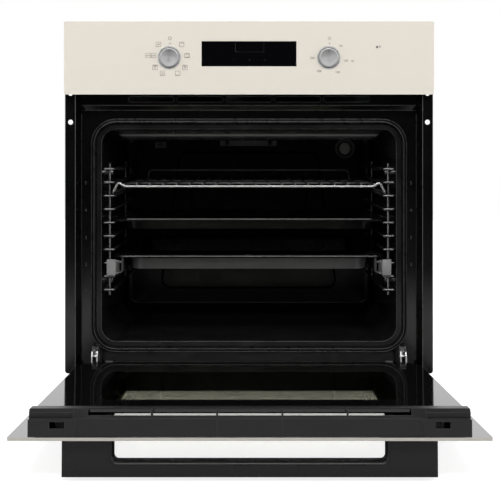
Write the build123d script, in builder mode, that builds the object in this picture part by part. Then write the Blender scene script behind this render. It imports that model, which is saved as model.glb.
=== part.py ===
"""A 60 cm built-in oven with its drop-down door open.

Millimetres, +Z up, the user stands at -Y. The origin is the centre of the casing's underside.
The door, its glass and its hinges are drawn on the plane of the open door.
"""

import os
from math import cos, radians, sin

from build123d import *

os.makedirs("parts", exist_ok=True)

# Overall sizes
OVEN_W = 594.0
OVEN_H = 595.0
CASING_W = 560.0
CASING_H = 582.0
CASING_D = 520.0
SHEET = 1.0
GLASS = 4.0
OPEN_ANGLE = 87.33
GAP = 0.3

# Planes from front to back, measured from the front of the panel glass
FRONT_Y = -305.0
FLANGE_Y = FRONT_Y + 16.0
UPPER_Y = FRONT_Y + 40.0
FACE_Y = FRONT_Y + 45.0
CASING_Y = FACE_Y + SHEET
REAR_Y = CASING_D / 2

# Front frame
FLANGE_W = 596.0
FLANGE_Z = 26.5
FLANGE_TOP = 590.0
RECESS_W = 562.0
LIP_Y = CASING_Y + 12.0
UPPER_W = 555.6
FACE_W = 550.6
FACE_Z = 42.0
SLOPE_Z = 452.5
SLOPE_TOP = 460.5
RECESS_TOP = 486.0
FRAME_T = 1.2
TOP_BAND = 0.3
CORNER_CUT = 6.0
SCREW_D = 8.2
SCREW_X = 289.0
SCREW_Z = (433.6, 480.4)
SLOT_W = 75.5
SLOT_H = 9.6
SLOT_PITCH = 80.2
SLOT_Z = 471.8

# Cavity
CAVITY_W = 485.6
CAVITY_Z = 73.5
CAVITY_H = 349.7
CAVITY_D = 372.0
CAVITY_R = 25.0
CAVITY_REAR_R = 14.0
LINER_T = 1.2
LINER_FLANGE = 7.4
SEAL_INNER = 8.0
SEAL_OUTER = 15.0
SEAL_T = 8.0
WOOL_T = 28.0

# Control panel
PANEL_H = 117.3
PANEL_Z = OVEN_H - PANEL_H
CARRIER_W = 578.0
KNOB_X = 128.0
KNOB_Z = OVEN_H - 58.3
KNOB_D = 32.0
KNOB_PROUD = 4.0
KNOB_L = 24.0
RING_D = KNOB_D + 5.0
WELL_R = KNOB_D / 2 + 1.3
SHAFT_D = 6.0
SHAFT_FLAT = 1.0
SLIDER_D = 12.0
KNOB_TRAVEL = 17.0
SWITCH_W = 46.0
RUN_GAP = 0.08
WINDOW_W = 152.0
WINDOW_H = 40.0
WINDOW_Z = OVEN_H - 52.0
LED_X = 205.5
LED_Z = OVEN_H - 41.2

# Door, in its own plane: u runs from the top edge to the bottom edge, w from the outer glass inwards
DOOR_L = 471.0
PIVOT_U = 442.0
PIVOT_W = 13.0
PIVOT_Y = FRONT_Y + GLASS + PIVOT_W
PIVOT_Z = 32.0
INNER_W = 31.6
INNER_GLASS_W = 533.0
INNER_GLASS_U = (15.5, 409.0)
CORNER_X = 29.0
CORNER_U = 33.0
MIDDLE_W = 23.0
MIDDLE_GLASS_U = (54.0, 400.0)
POST_X = (238.0, 265.0)
POST_T = 1.5
POST_U = (12.0, 401.0)
RAIL_U = (410.5, 464.0)
TRIM_W = 543.0
TRIM_U = (1.5, 28.0)
TRIM_TOP = 33.2
TRIM_FRONT = 22.5
TRIM_CHAMFER = 10.7
TRIM_T = 2.0
VENT_W = 77.4
VENT_PITCH = 80.0
VENT_U = (5.0, 14.9)
CLIP_X = 217.0
CLIP_LEDGE = (8.0, 21.5)
TONGUE_U = (0.2, 1.2)
TONGUE_X = (213.8, 209.7)
LATCH_X = (226.8, 245.1)
LATCH_W = (10.8, 18.9)
HANDLE_W = 463.6
HANDLE_U = (14.0, 34.0)
HANDLE_DEPTH = 47.2
GRIP_W = 338.0
GRIP_GAP = 28.1
GRIP_R = 6.0
GRIP_SOFT = 5.5

# Hinges
ARM_X = 250.0
ARM_W = 10.4
ARM_CHEEK = 2.0
ARM_SLOT_Z = (40.4, 70.0)
CHANNEL_IN = 11.4
CHANNEL_T = 1.2
CHANNEL_U = (250.0, 462.0)
CHANNEL_W = (1.0, INNER_W - GLASS - POST_T - 2 * GAP)
PIN_D = 6.0
ROD_D = 5.0
ROD_HEAD_D = 7.0
ROD_U = (262.0, 429.0)
SPRING_D = 9.8
SPRING_U = (282.0, 396.0)
LOCK_Y = FRONT_Y + 27.0
LOCK_Z = 52.0
LOCK_PIN_D = 3.2
LOCK_L = 8.0

# Racks, shelf, trays
RUNG_N = 10
RUNG_Z = 157.5
RUNG_PITCH = 22.16
RUNG_D = 4.5
WIRE_SIDES = 8
RUNG_INSET = 19.8
RUNG_X = CAVITY_W / 2 - RUNG_INSET
RACK_Y = (FACE_Y + 7.0, FACE_Y + CAVITY_D - 19.0)
POST_D = 4.2
POST_INSET = 12.2
RUNG_OUT_X = CAVITY_W / 2 - RUNG_D / 2 - GAP
POST_X_MID = CAVITY_W / 2 - POST_INSET
STUD_R = 5.0
STUD_Y = (FACE_Y + 85.0, FACE_Y + CAVITY_D - 67.0)
SHELF_Y = (FACE_Y + 5.0, FACE_Y + CAVITY_D - 8.0)
SHELF_LEVEL = 7
SHELF_RAIL_X = RUNG_X + 1.5
SHELF_RAIL_D = 5.0
SHELF_WIRE_D = 3.0
SHELF_WIRES = 20
SHELF_WIRE_INSET = 17.875
SHELF_PITCH = 2 * (SHELF_RAIL_X - SHELF_WIRE_INSET) / (SHELF_WIRES - 1)
SHELF_RISE = 10.5
TRAY_LEVEL = 5
TRAY_REST = 4.0
TRAY_W = 2 * (RUNG_X + TRAY_REST)
TRAY_D = CAVITY_D - 12.0
TRAY_H = 14.0
PAN_Z = 210.9
PAN_H = 21.5
TRAY_T = 1.2
RUNNER_L = CAVITY_D - 22.0
RUNNER_Z = (184.0, 206.0)


def save(name, part):
    """Label one piece and write it."""
    part.label = name
    export_step(part, f"parts/{name}.step")


def both_sides(part):
    """A piece and its mirror image across the middle plane, as separate solids."""
    return Compound(children=[*part.solids(), *mirror(part, about=Plane.YZ).solids()])


def bent_wire(points, diameter, sides=0):
    """A wire along straight runs, mitred at the bends: round, or with that many flat sides."""
    with BuildPart() as wire:
        with BuildLine() as path:
            Polyline(*points)
        with BuildSketch(Plane(origin=path.line @ 0, z_dir=path.line % 0)):
            if sides:
                RegularPolygon(diameter / 2, sides, major_radius=False, rotation=180 / sides)
            else:
                Circle(diameter / 2)
        sweep(transition=Transition.RIGHT)
    return wire.part


def front_plane(y):
    """A plane facing the user at depth y, with local X to the right and local Y up."""
    return Plane(origin=(0, y, 0), x_dir=(1, 0, 0), z_dir=(0, -1, 0))


# The open door leans up a little from level; this is its plane and its side plane
LEAN = radians(90 - OPEN_ANGLE)
DOOR_TOP = (
    0,
    PIVOT_Y - PIVOT_U * cos(LEAN) - PIVOT_W * sin(LEAN),
    PIVOT_Z + PIVOT_U * sin(LEAN) - PIVOT_W * cos(LEAN),
)
DOOR = Plane(origin=DOOR_TOP, x_dir=(1, 0, 0), z_dir=(0, sin(LEAN), cos(LEAN)))
DOOR_SIDE = Plane(origin=DOOR_TOP, x_dir=(0, cos(LEAN), -sin(LEAN)), z_dir=(1, 0, 0))


def on_door(w):
    """The plane of the open door at depth w, with local X across and local Y towards the hinge."""
    return DOOR.offset(w)


def door_section(x):
    """The side plane of the open door at x, with local X along the door and local Y inwards."""
    return DOOR_SIDE.offset(x)


# Casing: base plate, folded shell of sides and top, back panel
with BuildPart() as base_plate:
    with BuildSketch(Plane.XY):
        with Locations((0, (LIP_Y + REAR_Y) / 2)):
            Rectangle(CASING_W, REAR_Y - LIP_Y)
    extrude(amount=SHEET)
    with BuildSketch(Plane.XY.offset(SHEET)):
        with Locations((0, LIP_Y + SHEET / 2)):
            Rectangle(CASING_W - 2 * SHEET, SHEET)
    extrude(amount=FACE_Z - 12.0)
save("base_plate", base_plate.part)

with BuildPart() as casing_shell:
    with BuildSketch(front_plane(REAR_Y)):
        with Locations((0, (CASING_H + SHEET) / 2)):
            Rectangle(CASING_W, CASING_H - SHEET)
        with Locations((0, CASING_H / 2 - SHEET / 2)):
            Rectangle(CASING_W - 2 * SHEET, CASING_H - SHEET, mode=Mode.SUBTRACT)
    extrude(amount=REAR_Y - FLANGE_Y - FRAME_T)
    with Locations((0, CASING_Y - 40, (RECESS_TOP + FRAME_T + 0.5) / 2)):
        Box(CASING_W + 2, 80, RECESS_TOP + FRAME_T + 0.5, mode=Mode.SUBTRACT)
    with Locations((0, CASING_Y, FACE_Z / 2)):
        Box(CASING_W + 2, 24.0, FACE_Z, mode=Mode.SUBTRACT)
    with BuildSketch(Plane.YZ.offset(-CASING_W)):
        with Locations((REAR_Y - 90, 500), (REAR_Y - 60, 500), (REAR_Y - 30, 500)):
            SlotOverall(46, 8, rotation=90)
    extrude(amount=2 * CASING_W, mode=Mode.SUBTRACT)
save("casing_shell", casing_shell.part)

with BuildPart() as back_panel:
    with BuildSketch(front_plane(REAR_Y - SHEET)):
        with Locations((0, CASING_H / 2)):
            RectangleRounded(CASING_W - 2 * SHEET - 0.6, CASING_H - 2 * SHEET - 0.6, 4)
        with Locations((190, 60)):
            Rectangle(60, 40, mode=Mode.SUBTRACT)
        with GridLocations(14, 0, 12, 1):
            with Locations((0, 520)):
                SlotOverall(50, 6, rotation=90, mode=Mode.SUBTRACT)
    extrude(amount=SHEET)
save("back_panel", back_panel.part)

# Front frame: flange columns that rest on the cabinet, and a drawn recess that holds the cavity's mouth
with BuildPart() as front_frame:
    with BuildSketch(front_plane(FLANGE_Y)):
        with Locations((0, (FLANGE_Z + FLANGE_TOP) / 2)):
            RectangleRounded(FLANGE_W, FLANGE_TOP - FLANGE_Z, 5)
        with Locations((0, (RECESS_TOP + FLANGE_Z) / 2 - 10)):
            Rectangle(RECESS_W, RECESS_TOP - FLANGE_Z + 20, mode=Mode.SUBTRACT)
        with Locations((0, WINDOW_Z)):
            Rectangle(430, 84, mode=Mode.SUBTRACT)
    extrude(amount=-FRAME_T)
    with BuildSketch(Plane.XY.offset(FLANGE_Z)):
        for side in (-1, 1):
            with BuildLine():
                Polyline(
                    (side * RECESS_W / 2, FLANGE_Y),
                    (side * (RECESS_W / 2 + FRAME_T), FLANGE_Y),
                    (side * (FACE_W / 2 + FRAME_T), FACE_Y + FRAME_T),
                    (side * FACE_W / 2, FACE_Y + FRAME_T),
                    close=True,
                )
            make_face()
    extrude(amount=RECESS_TOP - FLANGE_Z)
    with BuildSketch(front_plane(FACE_Y)):
        with Locations((0, (FACE_Z + SLOPE_Z) / 2)):
            Rectangle(FACE_W + FRAME_T, SLOPE_Z - FACE_Z)
        with Locations((0, CAVITY_Z + CAVITY_H / 2)):
            RectangleRounded(
                CAVITY_W + 2 * LINER_T + 0.6,
                CAVITY_H + 2 * LINER_T + 0.6,
                CAVITY_R + LINER_T + GAP,
                mode=Mode.SUBTRACT,
            )
        with Locations(*[(side * ARM_X, (ARM_SLOT_Z[0] + ARM_SLOT_Z[1]) / 2) for side in (-1, 1)]):
            Rectangle(ARM_W + 2.6, ARM_SLOT_Z[1] - ARM_SLOT_Z[0], mode=Mode.SUBTRACT)
    extrude(amount=-FRAME_T)
    with BuildSketch(front_plane(FACE_Y + 0.5)):
        for side in (-1, 1):
            with BuildLine():
                Polyline(
                    (side * FACE_W / 2, SLOPE_Z + 0.5),
                    (side * (FACE_W / 2 - CORNER_CUT), SLOPE_Z + 0.5),
                    (side * FACE_W / 2, SLOPE_Z + 0.5 - CORNER_CUT),
                    close=True,
                )
            make_face()
    extrude(amount=FACE_Y - UPPER_Y + 0.5)
    with BuildSketch(front_plane(UPPER_Y + 0.5)):
        for side in (-1, 1):
            with BuildLine():
                Polyline(
                    (side * (UPPER_W / 2 - 0.5), SLOPE_TOP - 4),
                    (side * (UPPER_W / 2 - 0.5 - CORNER_CUT), SLOPE_TOP - 4),
                    (side * (UPPER_W / 2 - 0.5 - CORNER_CUT), SLOPE_TOP + 0.5),
                    (side * (UPPER_W / 2 - 0.5), SLOPE_TOP - 2.5),
                    close=True,
                )
            make_face()
    extrude(amount=-(FACE_Y - UPPER_Y) + 0.5)
    with BuildSketch(Plane.YZ.offset(-(UPPER_W - 1.0) / 2)):
        with BuildLine():
            Polyline(
                (FACE_Y, SLOPE_Z - 0.5),
                (FACE_Y, SLOPE_Z),
                (UPPER_Y, SLOPE_TOP),
                (UPPER_Y, RECESS_TOP),
                (FLANGE_Y, RECESS_TOP),
                (FLANGE_Y, RECESS_TOP + FRAME_T),
                (UPPER_Y + FRAME_T, RECESS_TOP + FRAME_T),
                (UPPER_Y + FRAME_T, SLOPE_TOP + 0.8),
                (FACE_Y + FRAME_T, SLOPE_Z + 0.8),
                (FACE_Y + FRAME_T, SLOPE_Z - 0.5),
                close=True,
            )
        make_face()
    extrude(amount=UPPER_W - 1.0)
    with BuildSketch(Plane.YZ.offset(-FACE_W / 2)):
        with BuildLine():
            Polyline(
                (FACE_Y, FACE_Z + FRAME_T),
                (LIP_Y, FACE_Z + FRAME_T),
                (LIP_Y, FLANGE_Z - 2),
                (LIP_Y - FRAME_T, FLANGE_Z - 2),
                (LIP_Y - FRAME_T, FACE_Z),
                (FACE_Y, FACE_Z),
                close=True,
            )
        make_face()
    extrude(amount=FACE_W)
    for side in (-1, 1):
        with Locations((side * (FACE_W / 2 + 1.7), FACE_Y + FRAME_T / 2, (FACE_Z + RECESS_TOP) / 2 + 1)):
            Box(3.4, FRAME_T, RECESS_TOP - FACE_Z - 2)
        with Locations((side * (FACE_W / 2 + 2.8), FACE_Y + 10, (FACE_Z + RECESS_TOP) / 2 + 1)):
            Box(FRAME_T, 20, RECESS_TOP - FACE_Z - 2)
        with Locations((side * ARM_X, LIP_Y - 4, FACE_Z)):
            Box(ARM_W + 6, 20, 50, mode=Mode.SUBTRACT)
    with BuildSketch(front_plane(UPPER_Y - 1.0)):
        with Locations((0, SLOT_Z)):
            with GridLocations(SLOT_PITCH, 0, 5, 1):
                SlotOverall(SLOT_W, SLOT_H)
    extrude(amount=-FRAME_T - 2.0, mode=Mode.SUBTRACT)
    with BuildSketch(front_plane(FLANGE_Y)):
        with Locations(*[(side * SCREW_X, z) for side in (-1, 1) for z in SCREW_Z]):
            Circle(SCREW_D / 2)
    extrude(amount=-FRAME_T, mode=Mode.SUBTRACT)
    with Locations((0, FLANGE_Y + FRAME_T, (RECESS_TOP + FRAME_T + FLANGE_TOP) / 2 + 1)):
        Box(RECESS_W, 2 * TOP_BAND, FLANGE_TOP - RECESS_TOP - FRAME_T + 2, mode=Mode.SUBTRACT)
save("front_frame", front_frame.part)

# Cavity liner: a drawn box with rounded corners and a flange round its mouth
LINER_REAR_Y = FACE_Y + CAVITY_D
CAVITY_MID_Z = CAVITY_Z + CAVITY_H / 2
FAN_Z = CAVITY_MID_Z
LAMP_X = CAVITY_W / 2 - 51.8
LAMP_Z = 389.4
# Rear wall fittings
COVER_TOP = (384.0, 137.0)
COVER_LOW = (112.0, 176.0)
COVER_D = 5.0
COVER_Y = LINER_REAR_Y - COVER_D
GRILLE_R = (26.0, 40.0, 54.0)
POCKET_W = 256.0
POCKET_H = 226.0
POCKET_D = 38.0
POCKET_Y = LINER_REAR_Y + POCKET_D
FAN_R = 66.0
FAN_BLADE = 15.0
ELEMENT_D = 6.5
RING_R = 92.0
GRILL_X = CAVITY_W / 2 - 52.8
GRILL_LEG_X = 42.0
GRILL_LEG_Z = 399.8
GRILL_Z = CAVITY_Z + CAVITY_H - 11.0
PROBE_X = 68.8 - CAVITY_W / 2
PROBE_Z = 396.5
LEG_Y = LINER_REAR_Y + 46.0
RING_LEG = (RING_R * sin(radians(15)), FAN_Z + RING_R * cos(radians(15)))
with BuildPart() as cavity_liner:
    with BuildSketch(front_plane(FACE_Y - LINER_T)):
        with Locations((0, CAVITY_MID_Z)):
            RectangleRounded(CAVITY_W + 2 * LINER_T, CAVITY_H + 2 * LINER_T, CAVITY_R + LINER_T)
    extrude(amount=-(CAVITY_D + 2 * LINER_T))
    fillet(cavity_liner.faces().sort_by(Axis.Y)[-1].edges(), CAVITY_REAR_R + LINER_T)
    with BuildSketch(front_plane(FACE_Y - LINER_T)):
        with Locations((0, CAVITY_MID_Z)):
            RectangleRounded(
                CAVITY_W + 2 * LINER_FLANGE, CAVITY_H + 2 * LINER_FLANGE, CAVITY_R + LINER_FLANGE
            )
    extrude(amount=-LINER_T)
    with BuildPart(mode=Mode.PRIVATE) as hollow:
        with BuildSketch(front_plane(FACE_Y - LINER_T)):
            with Locations((0, CAVITY_MID_Z)):
                RectangleRounded(CAVITY_W, CAVITY_H, CAVITY_R)
        extrude(amount=-(CAVITY_D + LINER_T))
        fillet(hollow.faces().sort_by(Axis.Y)[-1].edges(), CAVITY_REAR_R)
    add(hollow.part, mode=Mode.SUBTRACT)
    with BuildSketch(front_plane(LINER_REAR_Y + 0.4)):
        with Locations((0, FAN_Z)):
            RectangleRounded(POCKET_W + 2 * LINER_T, POCKET_H + 2 * LINER_T, 60)
    extrude(amount=-(POCKET_D + LINER_T - 0.4))
    with BuildSketch(front_plane(LINER_REAR_Y - 1)):
        with Locations((0, FAN_Z)):
            RectangleRounded(POCKET_W, POCKET_H, 60 - LINER_T)
    extrude(amount=-(POCKET_D + 1), mode=Mode.SUBTRACT)
    with BuildSketch(front_plane(LINER_REAR_Y - 1)):
        with Locations((0, FAN_Z)):
            Circle(8.0)
        with Locations((LAMP_X, LAMP_Z)):
            Circle(17.0)
        with Locations((GRILL_LEG_X, GRILL_LEG_Z), (-GRILL_LEG_X, GRILL_LEG_Z)):
            Circle(ELEMENT_D / 2 + GAP)
        with Locations(RING_LEG, (-RING_LEG[0], RING_LEG[1])):
            Circle(ELEMENT_D / 2 + GAP)
        with Locations((PROBE_X, PROBE_Z)):
            Circle(2.5)
    extrude(amount=-(POCKET_D + 2 * LINER_T + 1), mode=Mode.SUBTRACT)
save("cavity_liner", cavity_liner.part)

# Door seal round the mouth, with a rounded face towards the door
with BuildPart() as door_seal:
    with BuildSketch(front_plane(FACE_Y)):
        with Locations((0, CAVITY_MID_Z)):
            RectangleRounded(CAVITY_W + 2 * SEAL_OUTER, CAVITY_H + 2 * SEAL_OUTER, CAVITY_R + SEAL_OUTER)
            RectangleRounded(
                CAVITY_W + 2 * SEAL_INNER,
                CAVITY_H + 2 * SEAL_INNER,
                CAVITY_R + SEAL_INNER,
                mode=Mode.SUBTRACT,
            )
    extrude(amount=SEAL_T)
    fillet(door_seal.faces().sort_by(Axis.Y)[0].edges(), 2.6)
save("door_seal", door_seal.part)

# Mineral wool round the cavity, open at the front, with pockets for the hinge receivers
with BuildPart() as insulation:
    with BuildSketch(front_plane(CASING_Y + 2.0)):
        with Locations((0, CAVITY_MID_Z)):
            RectangleRounded(CAVITY_W + 2 * WOOL_T, CAVITY_H + 2 * WOOL_T, 30)
    extrude(amount=-(CAVITY_D + WOOL_T + 25))
    with BuildPart(mode=Mode.PRIVATE) as wool_hollow:
        with BuildSketch(front_plane(CASING_Y)):
            with Locations((0, CAVITY_MID_Z)):
                RectangleRounded(
                    CAVITY_W + 2 * LINER_T + 0.6, CAVITY_H + 2 * LINER_T + 0.6, CAVITY_R + LINER_T + 0.3
                )
        extrude(amount=-(CAVITY_D + LINER_T - SHEET + 0.3))
        fillet(wool_hollow.faces().sort_by(Axis.Y)[-1].edges(), CAVITY_REAR_R)
    add(wool_hollow.part, mode=Mode.SUBTRACT)
    with Locations((ARM_X, CASING_Y + 14, 54), (-ARM_X, CASING_Y + 14, 54)):
        Box(34, 60, 44, mode=Mode.SUBTRACT)
    with BuildSketch(front_plane(LINER_REAR_Y)):
        with Locations((0, FAN_Z)):
            RectangleRounded(POCKET_W + 2 * LINER_T + 0.6, POCKET_H + 2 * LINER_T + 0.6, 60)
    extrude(amount=-(POCKET_D + LINER_T + GAP), mode=Mode.SUBTRACT)
    with BuildSketch(front_plane(LINER_REAR_Y)):
        with Locations((0, FAN_Z)):
            Circle(47.0)
        with Locations((LAMP_X, LAMP_Z)):
            Circle(17.4)
        with Locations((GRILL_LEG_X, GRILL_LEG_Z), (-GRILL_LEG_X, GRILL_LEG_Z)):
            Circle(ELEMENT_D / 2 + 1)
        with Locations(RING_LEG, (-RING_LEG[0], RING_LEG[1])):
            Circle(ELEMENT_D / 2 + 1)
        with Locations((PROBE_X, PROBE_Z)):
            Circle(3.2)
    extrude(amount=-3 * WOOL_T, mode=Mode.SUBTRACT)
    with Locations((0, -22, CAVITY_Z - LINER_T - 4)):
        Box(340, 346, 9, mode=Mode.SUBTRACT)
save("insulation", insulation.part)

# Fan cover on the rear wall: a shallow pressed tray with an intake grille and side outlets
def cover_outline(inset):
    """The fan cover's rounded trapezoid, drawn smaller all round by inset."""
    top, low = COVER_TOP, COVER_LOW
    with BuildSketch() as outline:
        with BuildLine():
            Polyline(
                (-top[1] + inset, top[0] - inset),
                (top[1] - inset, top[0] - inset),
                (low[1] - inset, low[0] + inset),
                (-low[1] + inset, low[0] + inset),
                close=True,
            )
        make_face()
        fillet(outline.vertices(), 19)
    return outline.sketch


with BuildPart() as fan_cover:
    with BuildSketch(front_plane(LINER_REAR_Y)):
        add(cover_outline(0))
    extrude(amount=COVER_D, taper=40)
    with BuildSketch(front_plane(LINER_REAR_Y)):
        add(cover_outline(1.6))
    extrude(amount=COVER_D - LINER_T, taper=40, mode=Mode.SUBTRACT)
    with BuildSketch(front_plane(COVER_Y - 1)):
        with Locations((0, FAN_Z)):
            Circle(9.0)
            for radius in GRILLE_R:
                for turn in range(4):
                    SlotArc(CenterArc((0, 0), radius, 90 * turn + 8, 74), 6.0)
        with Locations((0, FAN_Z)):
            with GridLocations(2 * 112, 48, 2, 3):
                SlotOverall(38, 8, rotation=90)
    extrude(amount=-8, mode=Mode.SUBTRACT)
save("fan_cover", fan_cover.part)

# Convection fan on its shaft, and the motor behind the wall
WHEEL_Y = POCKET_Y - 10.0
with BuildPart() as convection_fan:
    with BuildSketch(front_plane(WHEEL_Y)):
        with Locations((0, FAN_Z)):
            Circle(FAN_R)
    extrude(amount=1.2)
    with BuildSketch(front_plane(WHEEL_Y - 1.2)):
        with Locations((0, FAN_Z)):
            with PolarLocations(FAN_R * 0.68, 8):
                Rectangle(FAN_R * 0.58, 1.6, rotation=20)
    extrude(amount=FAN_BLADE)
    with BuildSketch(front_plane(WHEEL_Y - 14.0)):
        with Locations((0, FAN_Z)):
            Circle(SHAFT_D / 2)
    extrude(amount=-60)
    with BuildSketch(front_plane(WHEEL_Y)):
        with Locations((0, FAN_Z)):
            Circle(9)
    extrude(amount=10)
save("convection_fan", convection_fan.part)

MOTOR_Y = POCKET_Y + LINER_T
with BuildPart() as convection_motor:
    with BuildSketch(front_plane(MOTOR_Y + 2.0)):
        with Locations((0, FAN_Z)):
            Circle(45)
            Circle(10, mode=Mode.SUBTRACT)
    extrude(amount=2.0)
    with BuildSketch(front_plane(MOTOR_Y + 2.0)):
        with Locations((0, FAN_Z)):
            with GridLocations(52, 52, 2, 2):
                Circle(3)
    extrude(amount=-8.0)
    with BuildSketch(front_plane(MOTOR_Y + 10.0)):
        with Locations((0, FAN_Z)):
            RectangleRounded(66, 66, 8)
            Circle(SHAFT_D / 2 + RUN_GAP, mode=Mode.SUBTRACT)
    extrude(amount=-54.0)
save("convection_motor", convection_motor.part)

# Heating elements: grill under the ceiling, ring round the fan, bottom element under the floor
grill_points = [
    (-GRILL_LEG_X, LEG_Y, GRILL_LEG_Z),
    (-GRILL_LEG_X, LINER_REAR_Y - 23, GRILL_LEG_Z),
    (-GRILL_LEG_X, LINER_REAR_Y - 43, GRILL_Z),
    (-GRILL_LEG_X, FACE_Y + 70, GRILL_Z),
    (-GRILL_X / 2 - 18, FACE_Y + 70, GRILL_Z),
    (-GRILL_X / 2 - 18, LINER_REAR_Y - 60, GRILL_Z),
    (-GRILL_X, LINER_REAR_Y - 60, GRILL_Z),
    (-GRILL_X, FACE_Y + 45, GRILL_Z),
    (GRILL_X, FACE_Y + 45, GRILL_Z),
    (GRILL_X, LINER_REAR_Y - 60, GRILL_Z),
    (GRILL_X / 2 + 18, LINER_REAR_Y - 60, GRILL_Z),
    (GRILL_X / 2 + 18, FACE_Y + 70, GRILL_Z),
    (GRILL_LEG_X, FACE_Y + 70, GRILL_Z),
    (GRILL_LEG_X, LINER_REAR_Y - 43, GRILL_Z),
    (GRILL_LEG_X, LINER_REAR_Y - 23, GRILL_LEG_Z),
    (GRILL_LEG_X, LEG_Y, GRILL_LEG_Z),
]
save("grill_element", bent_wire(grill_points, ELEMENT_D))

with BuildPart() as grill_bracket:
    with BuildSketch(front_plane(LINER_REAR_Y)):
        with Locations((0, GRILL_LEG_Z)):
            RectangleRounded(112, 11, 2)
        with Locations((-GRILL_LEG_X, GRILL_LEG_Z), (GRILL_LEG_X, GRILL_LEG_Z)):
            Circle(ELEMENT_D / 2 + 0.3, mode=Mode.SUBTRACT)
    extrude(amount=1.5)
    with Locations((0, FACE_Y + 58, GRILL_Z + ELEMENT_D / 2 + 0.7)):
        Box(3.0, 40.0, 0.8)
    with Locations((0, FACE_Y + 58, (GRILL_Z + ELEMENT_D / 2 + 1.1 + CAVITY_Z + CAVITY_H) / 2)):
        Box(3.0, 12.0, CAVITY_Z + CAVITY_H - GRILL_Z - ELEMENT_D / 2 - 1.1)
save("grill_bracket", grill_bracket.part)

RING_Y = POCKET_Y - 18.0
ring_turn = [
    (RING_R * sin(radians(a)), RING_Y, FAN_Z + RING_R * cos(radians(a))) for a in range(15, 346, 15)
]
ring_points = [
    (ring_turn[0][0], LEG_Y + 10, ring_turn[0][2]),
    *ring_turn,
    (ring_turn[-1][0], LEG_Y + 10, ring_turn[-1][2]),
]
save("ring_element", bent_wire(ring_points, ELEMENT_D))

BOTTOM_Z = CAVITY_Z - LINER_T - ELEMENT_D / 2 - 0.2
bottom_points = [
    (-30, LINER_REAR_Y + 34, BOTTOM_Z),
    (-30, -140, BOTTOM_Z),
    (-90, -140, BOTTOM_Z),
    (-90, 70, BOTTOM_Z),
    (-160, 70, BOTTOM_Z),
    (-160, -190, BOTTOM_Z),
    (160, -190, BOTTOM_Z),
    (160, 70, BOTTOM_Z),
    (90, 70, BOTTOM_Z),
    (90, -140, BOTTOM_Z),
    (30, -140, BOTTOM_Z),
    (30, LINER_REAR_Y + 34, BOTTOM_Z),
]
save("bottom_element", bent_wire(bottom_points, ELEMENT_D))

# Lamp: glass cap in a round housing through the rear wall
with BuildPart() as lamp_housing:
    with BuildSketch(front_plane(LINER_REAR_Y)):
        with Locations((LAMP_X, LAMP_Z)):
            Circle(19.5)
            Circle(14.0, mode=Mode.SUBTRACT)
    extrude(amount=1.5)
    with BuildSketch(front_plane(LINER_REAR_Y)):
        with Locations((LAMP_X, LAMP_Z)):
            Circle(16.7)
            Circle(14.0, mode=Mode.SUBTRACT)
    extrude(amount=-50)
    with BuildSketch(front_plane(LINER_REAR_Y + 50)):
        with Locations((LAMP_X, LAMP_Z)):
            Circle(16.7)
    extrude(amount=-3)
save("lamp_housing", lamp_housing.part)

with BuildPart() as lamp_lens:
    with BuildSketch(front_plane(LINER_REAR_Y - 1.8)):
        with Locations((LAMP_X, LAMP_Z)):
            Circle(15.0)
    extrude(amount=6, taper=25)
    with BuildSketch(front_plane(LINER_REAR_Y - 1.8)):
        with Locations((LAMP_X, LAMP_Z)):
            Circle(13.7)
    extrude(amount=-12)
    with BuildSketch(front_plane(LINER_REAR_Y - 3.8)):
        with Locations((LAMP_X, LAMP_Z)):
            Circle(11.5)
    extrude(amount=-16, mode=Mode.SUBTRACT)
save("lamp_lens", lamp_lens.part)

with BuildPart() as temperature_probe:
    with BuildSketch(front_plane(LINER_REAR_Y + 20)):
        with Locations((PROBE_X, PROBE_Z)):
            Circle(2.2)
    extrude(amount=110)
    with BuildSketch(front_plane(LINER_REAR_Y)):
        with Locations((PROBE_X, PROBE_Z)):
            RectangleRounded(22, 12, 2)
    extrude(amount=1.5)
save("temperature_probe", temperature_probe.part)

# Ladder racks: hairpin rungs, two posts and a thin post behind each
def rung(side, level):
    z = RUNG_Z + RUNG_PITCH * level
    return bent_wire(
        [
            (side * RUNG_X, RACK_Y[1], z),
            (side * RUNG_X, RACK_Y[0], z),
            (side * RUNG_OUT_X, RACK_Y[0], z),
            (side * RUNG_OUT_X, RACK_Y[1], z),
        ],
        RUNG_D,
        WIRE_SIDES,
    )


def rack(side):
    """One ladder rack: rungs between two posts, with a stop link on the shelf's level."""
    top = RUNG_Z + RUNG_PITCH * (RUNG_N - 1)
    with BuildPart() as ladder:
        for level in range(RUNG_N):
            add(rung(side, level))
        for y in (RACK_Y[0] + RUNG_D / 2 + POST_D / 2 - 1.2, RACK_Y[0] + 243.0):
            with BuildSketch(Plane.XY.offset(RUNG_Z - 10)):
                with Locations((side * POST_X_MID, y)):
                    RegularPolygon(POST_D / 2, WIRE_SIDES, major_radius=False, rotation=180 / WIRE_SIDES)
            extrude(amount=top - RUNG_Z + 20)
        for level in (SHELF_LEVEL, TRAY_LEVEL):
            with Locations((side * (RUNG_X + RUNG_OUT_X) / 2, RACK_Y[0] + 157, RUNG_Z + RUNG_PITCH * level)):
                Box(RUNG_OUT_X - RUNG_X, 4.0, 4.0)
        for y in (RACK_Y[0] + 243.0, RACK_Y[1] - 2.0):
            with Locations((side * (RUNG_X + RUNG_OUT_X) / 2, y, RUNG_Z)):
                Box(RUNG_OUT_X - RUNG_X, 3.0, 3.0)
            with Locations((side * (RUNG_X + RUNG_OUT_X) / 2, y, top)):
                Box(RUNG_OUT_X - RUNG_X, 3.0, 3.0)
        for level in range(1, RUNG_N - 1):
            with Locations((side * (RUNG_X + RUNG_OUT_X) / 2, RACK_Y[0] + 243.0, RUNG_Z + RUNG_PITCH * level)):
                Box(RUNG_OUT_X - RUNG_X, 3.0, 3.0)
    return ladder.part


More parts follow.
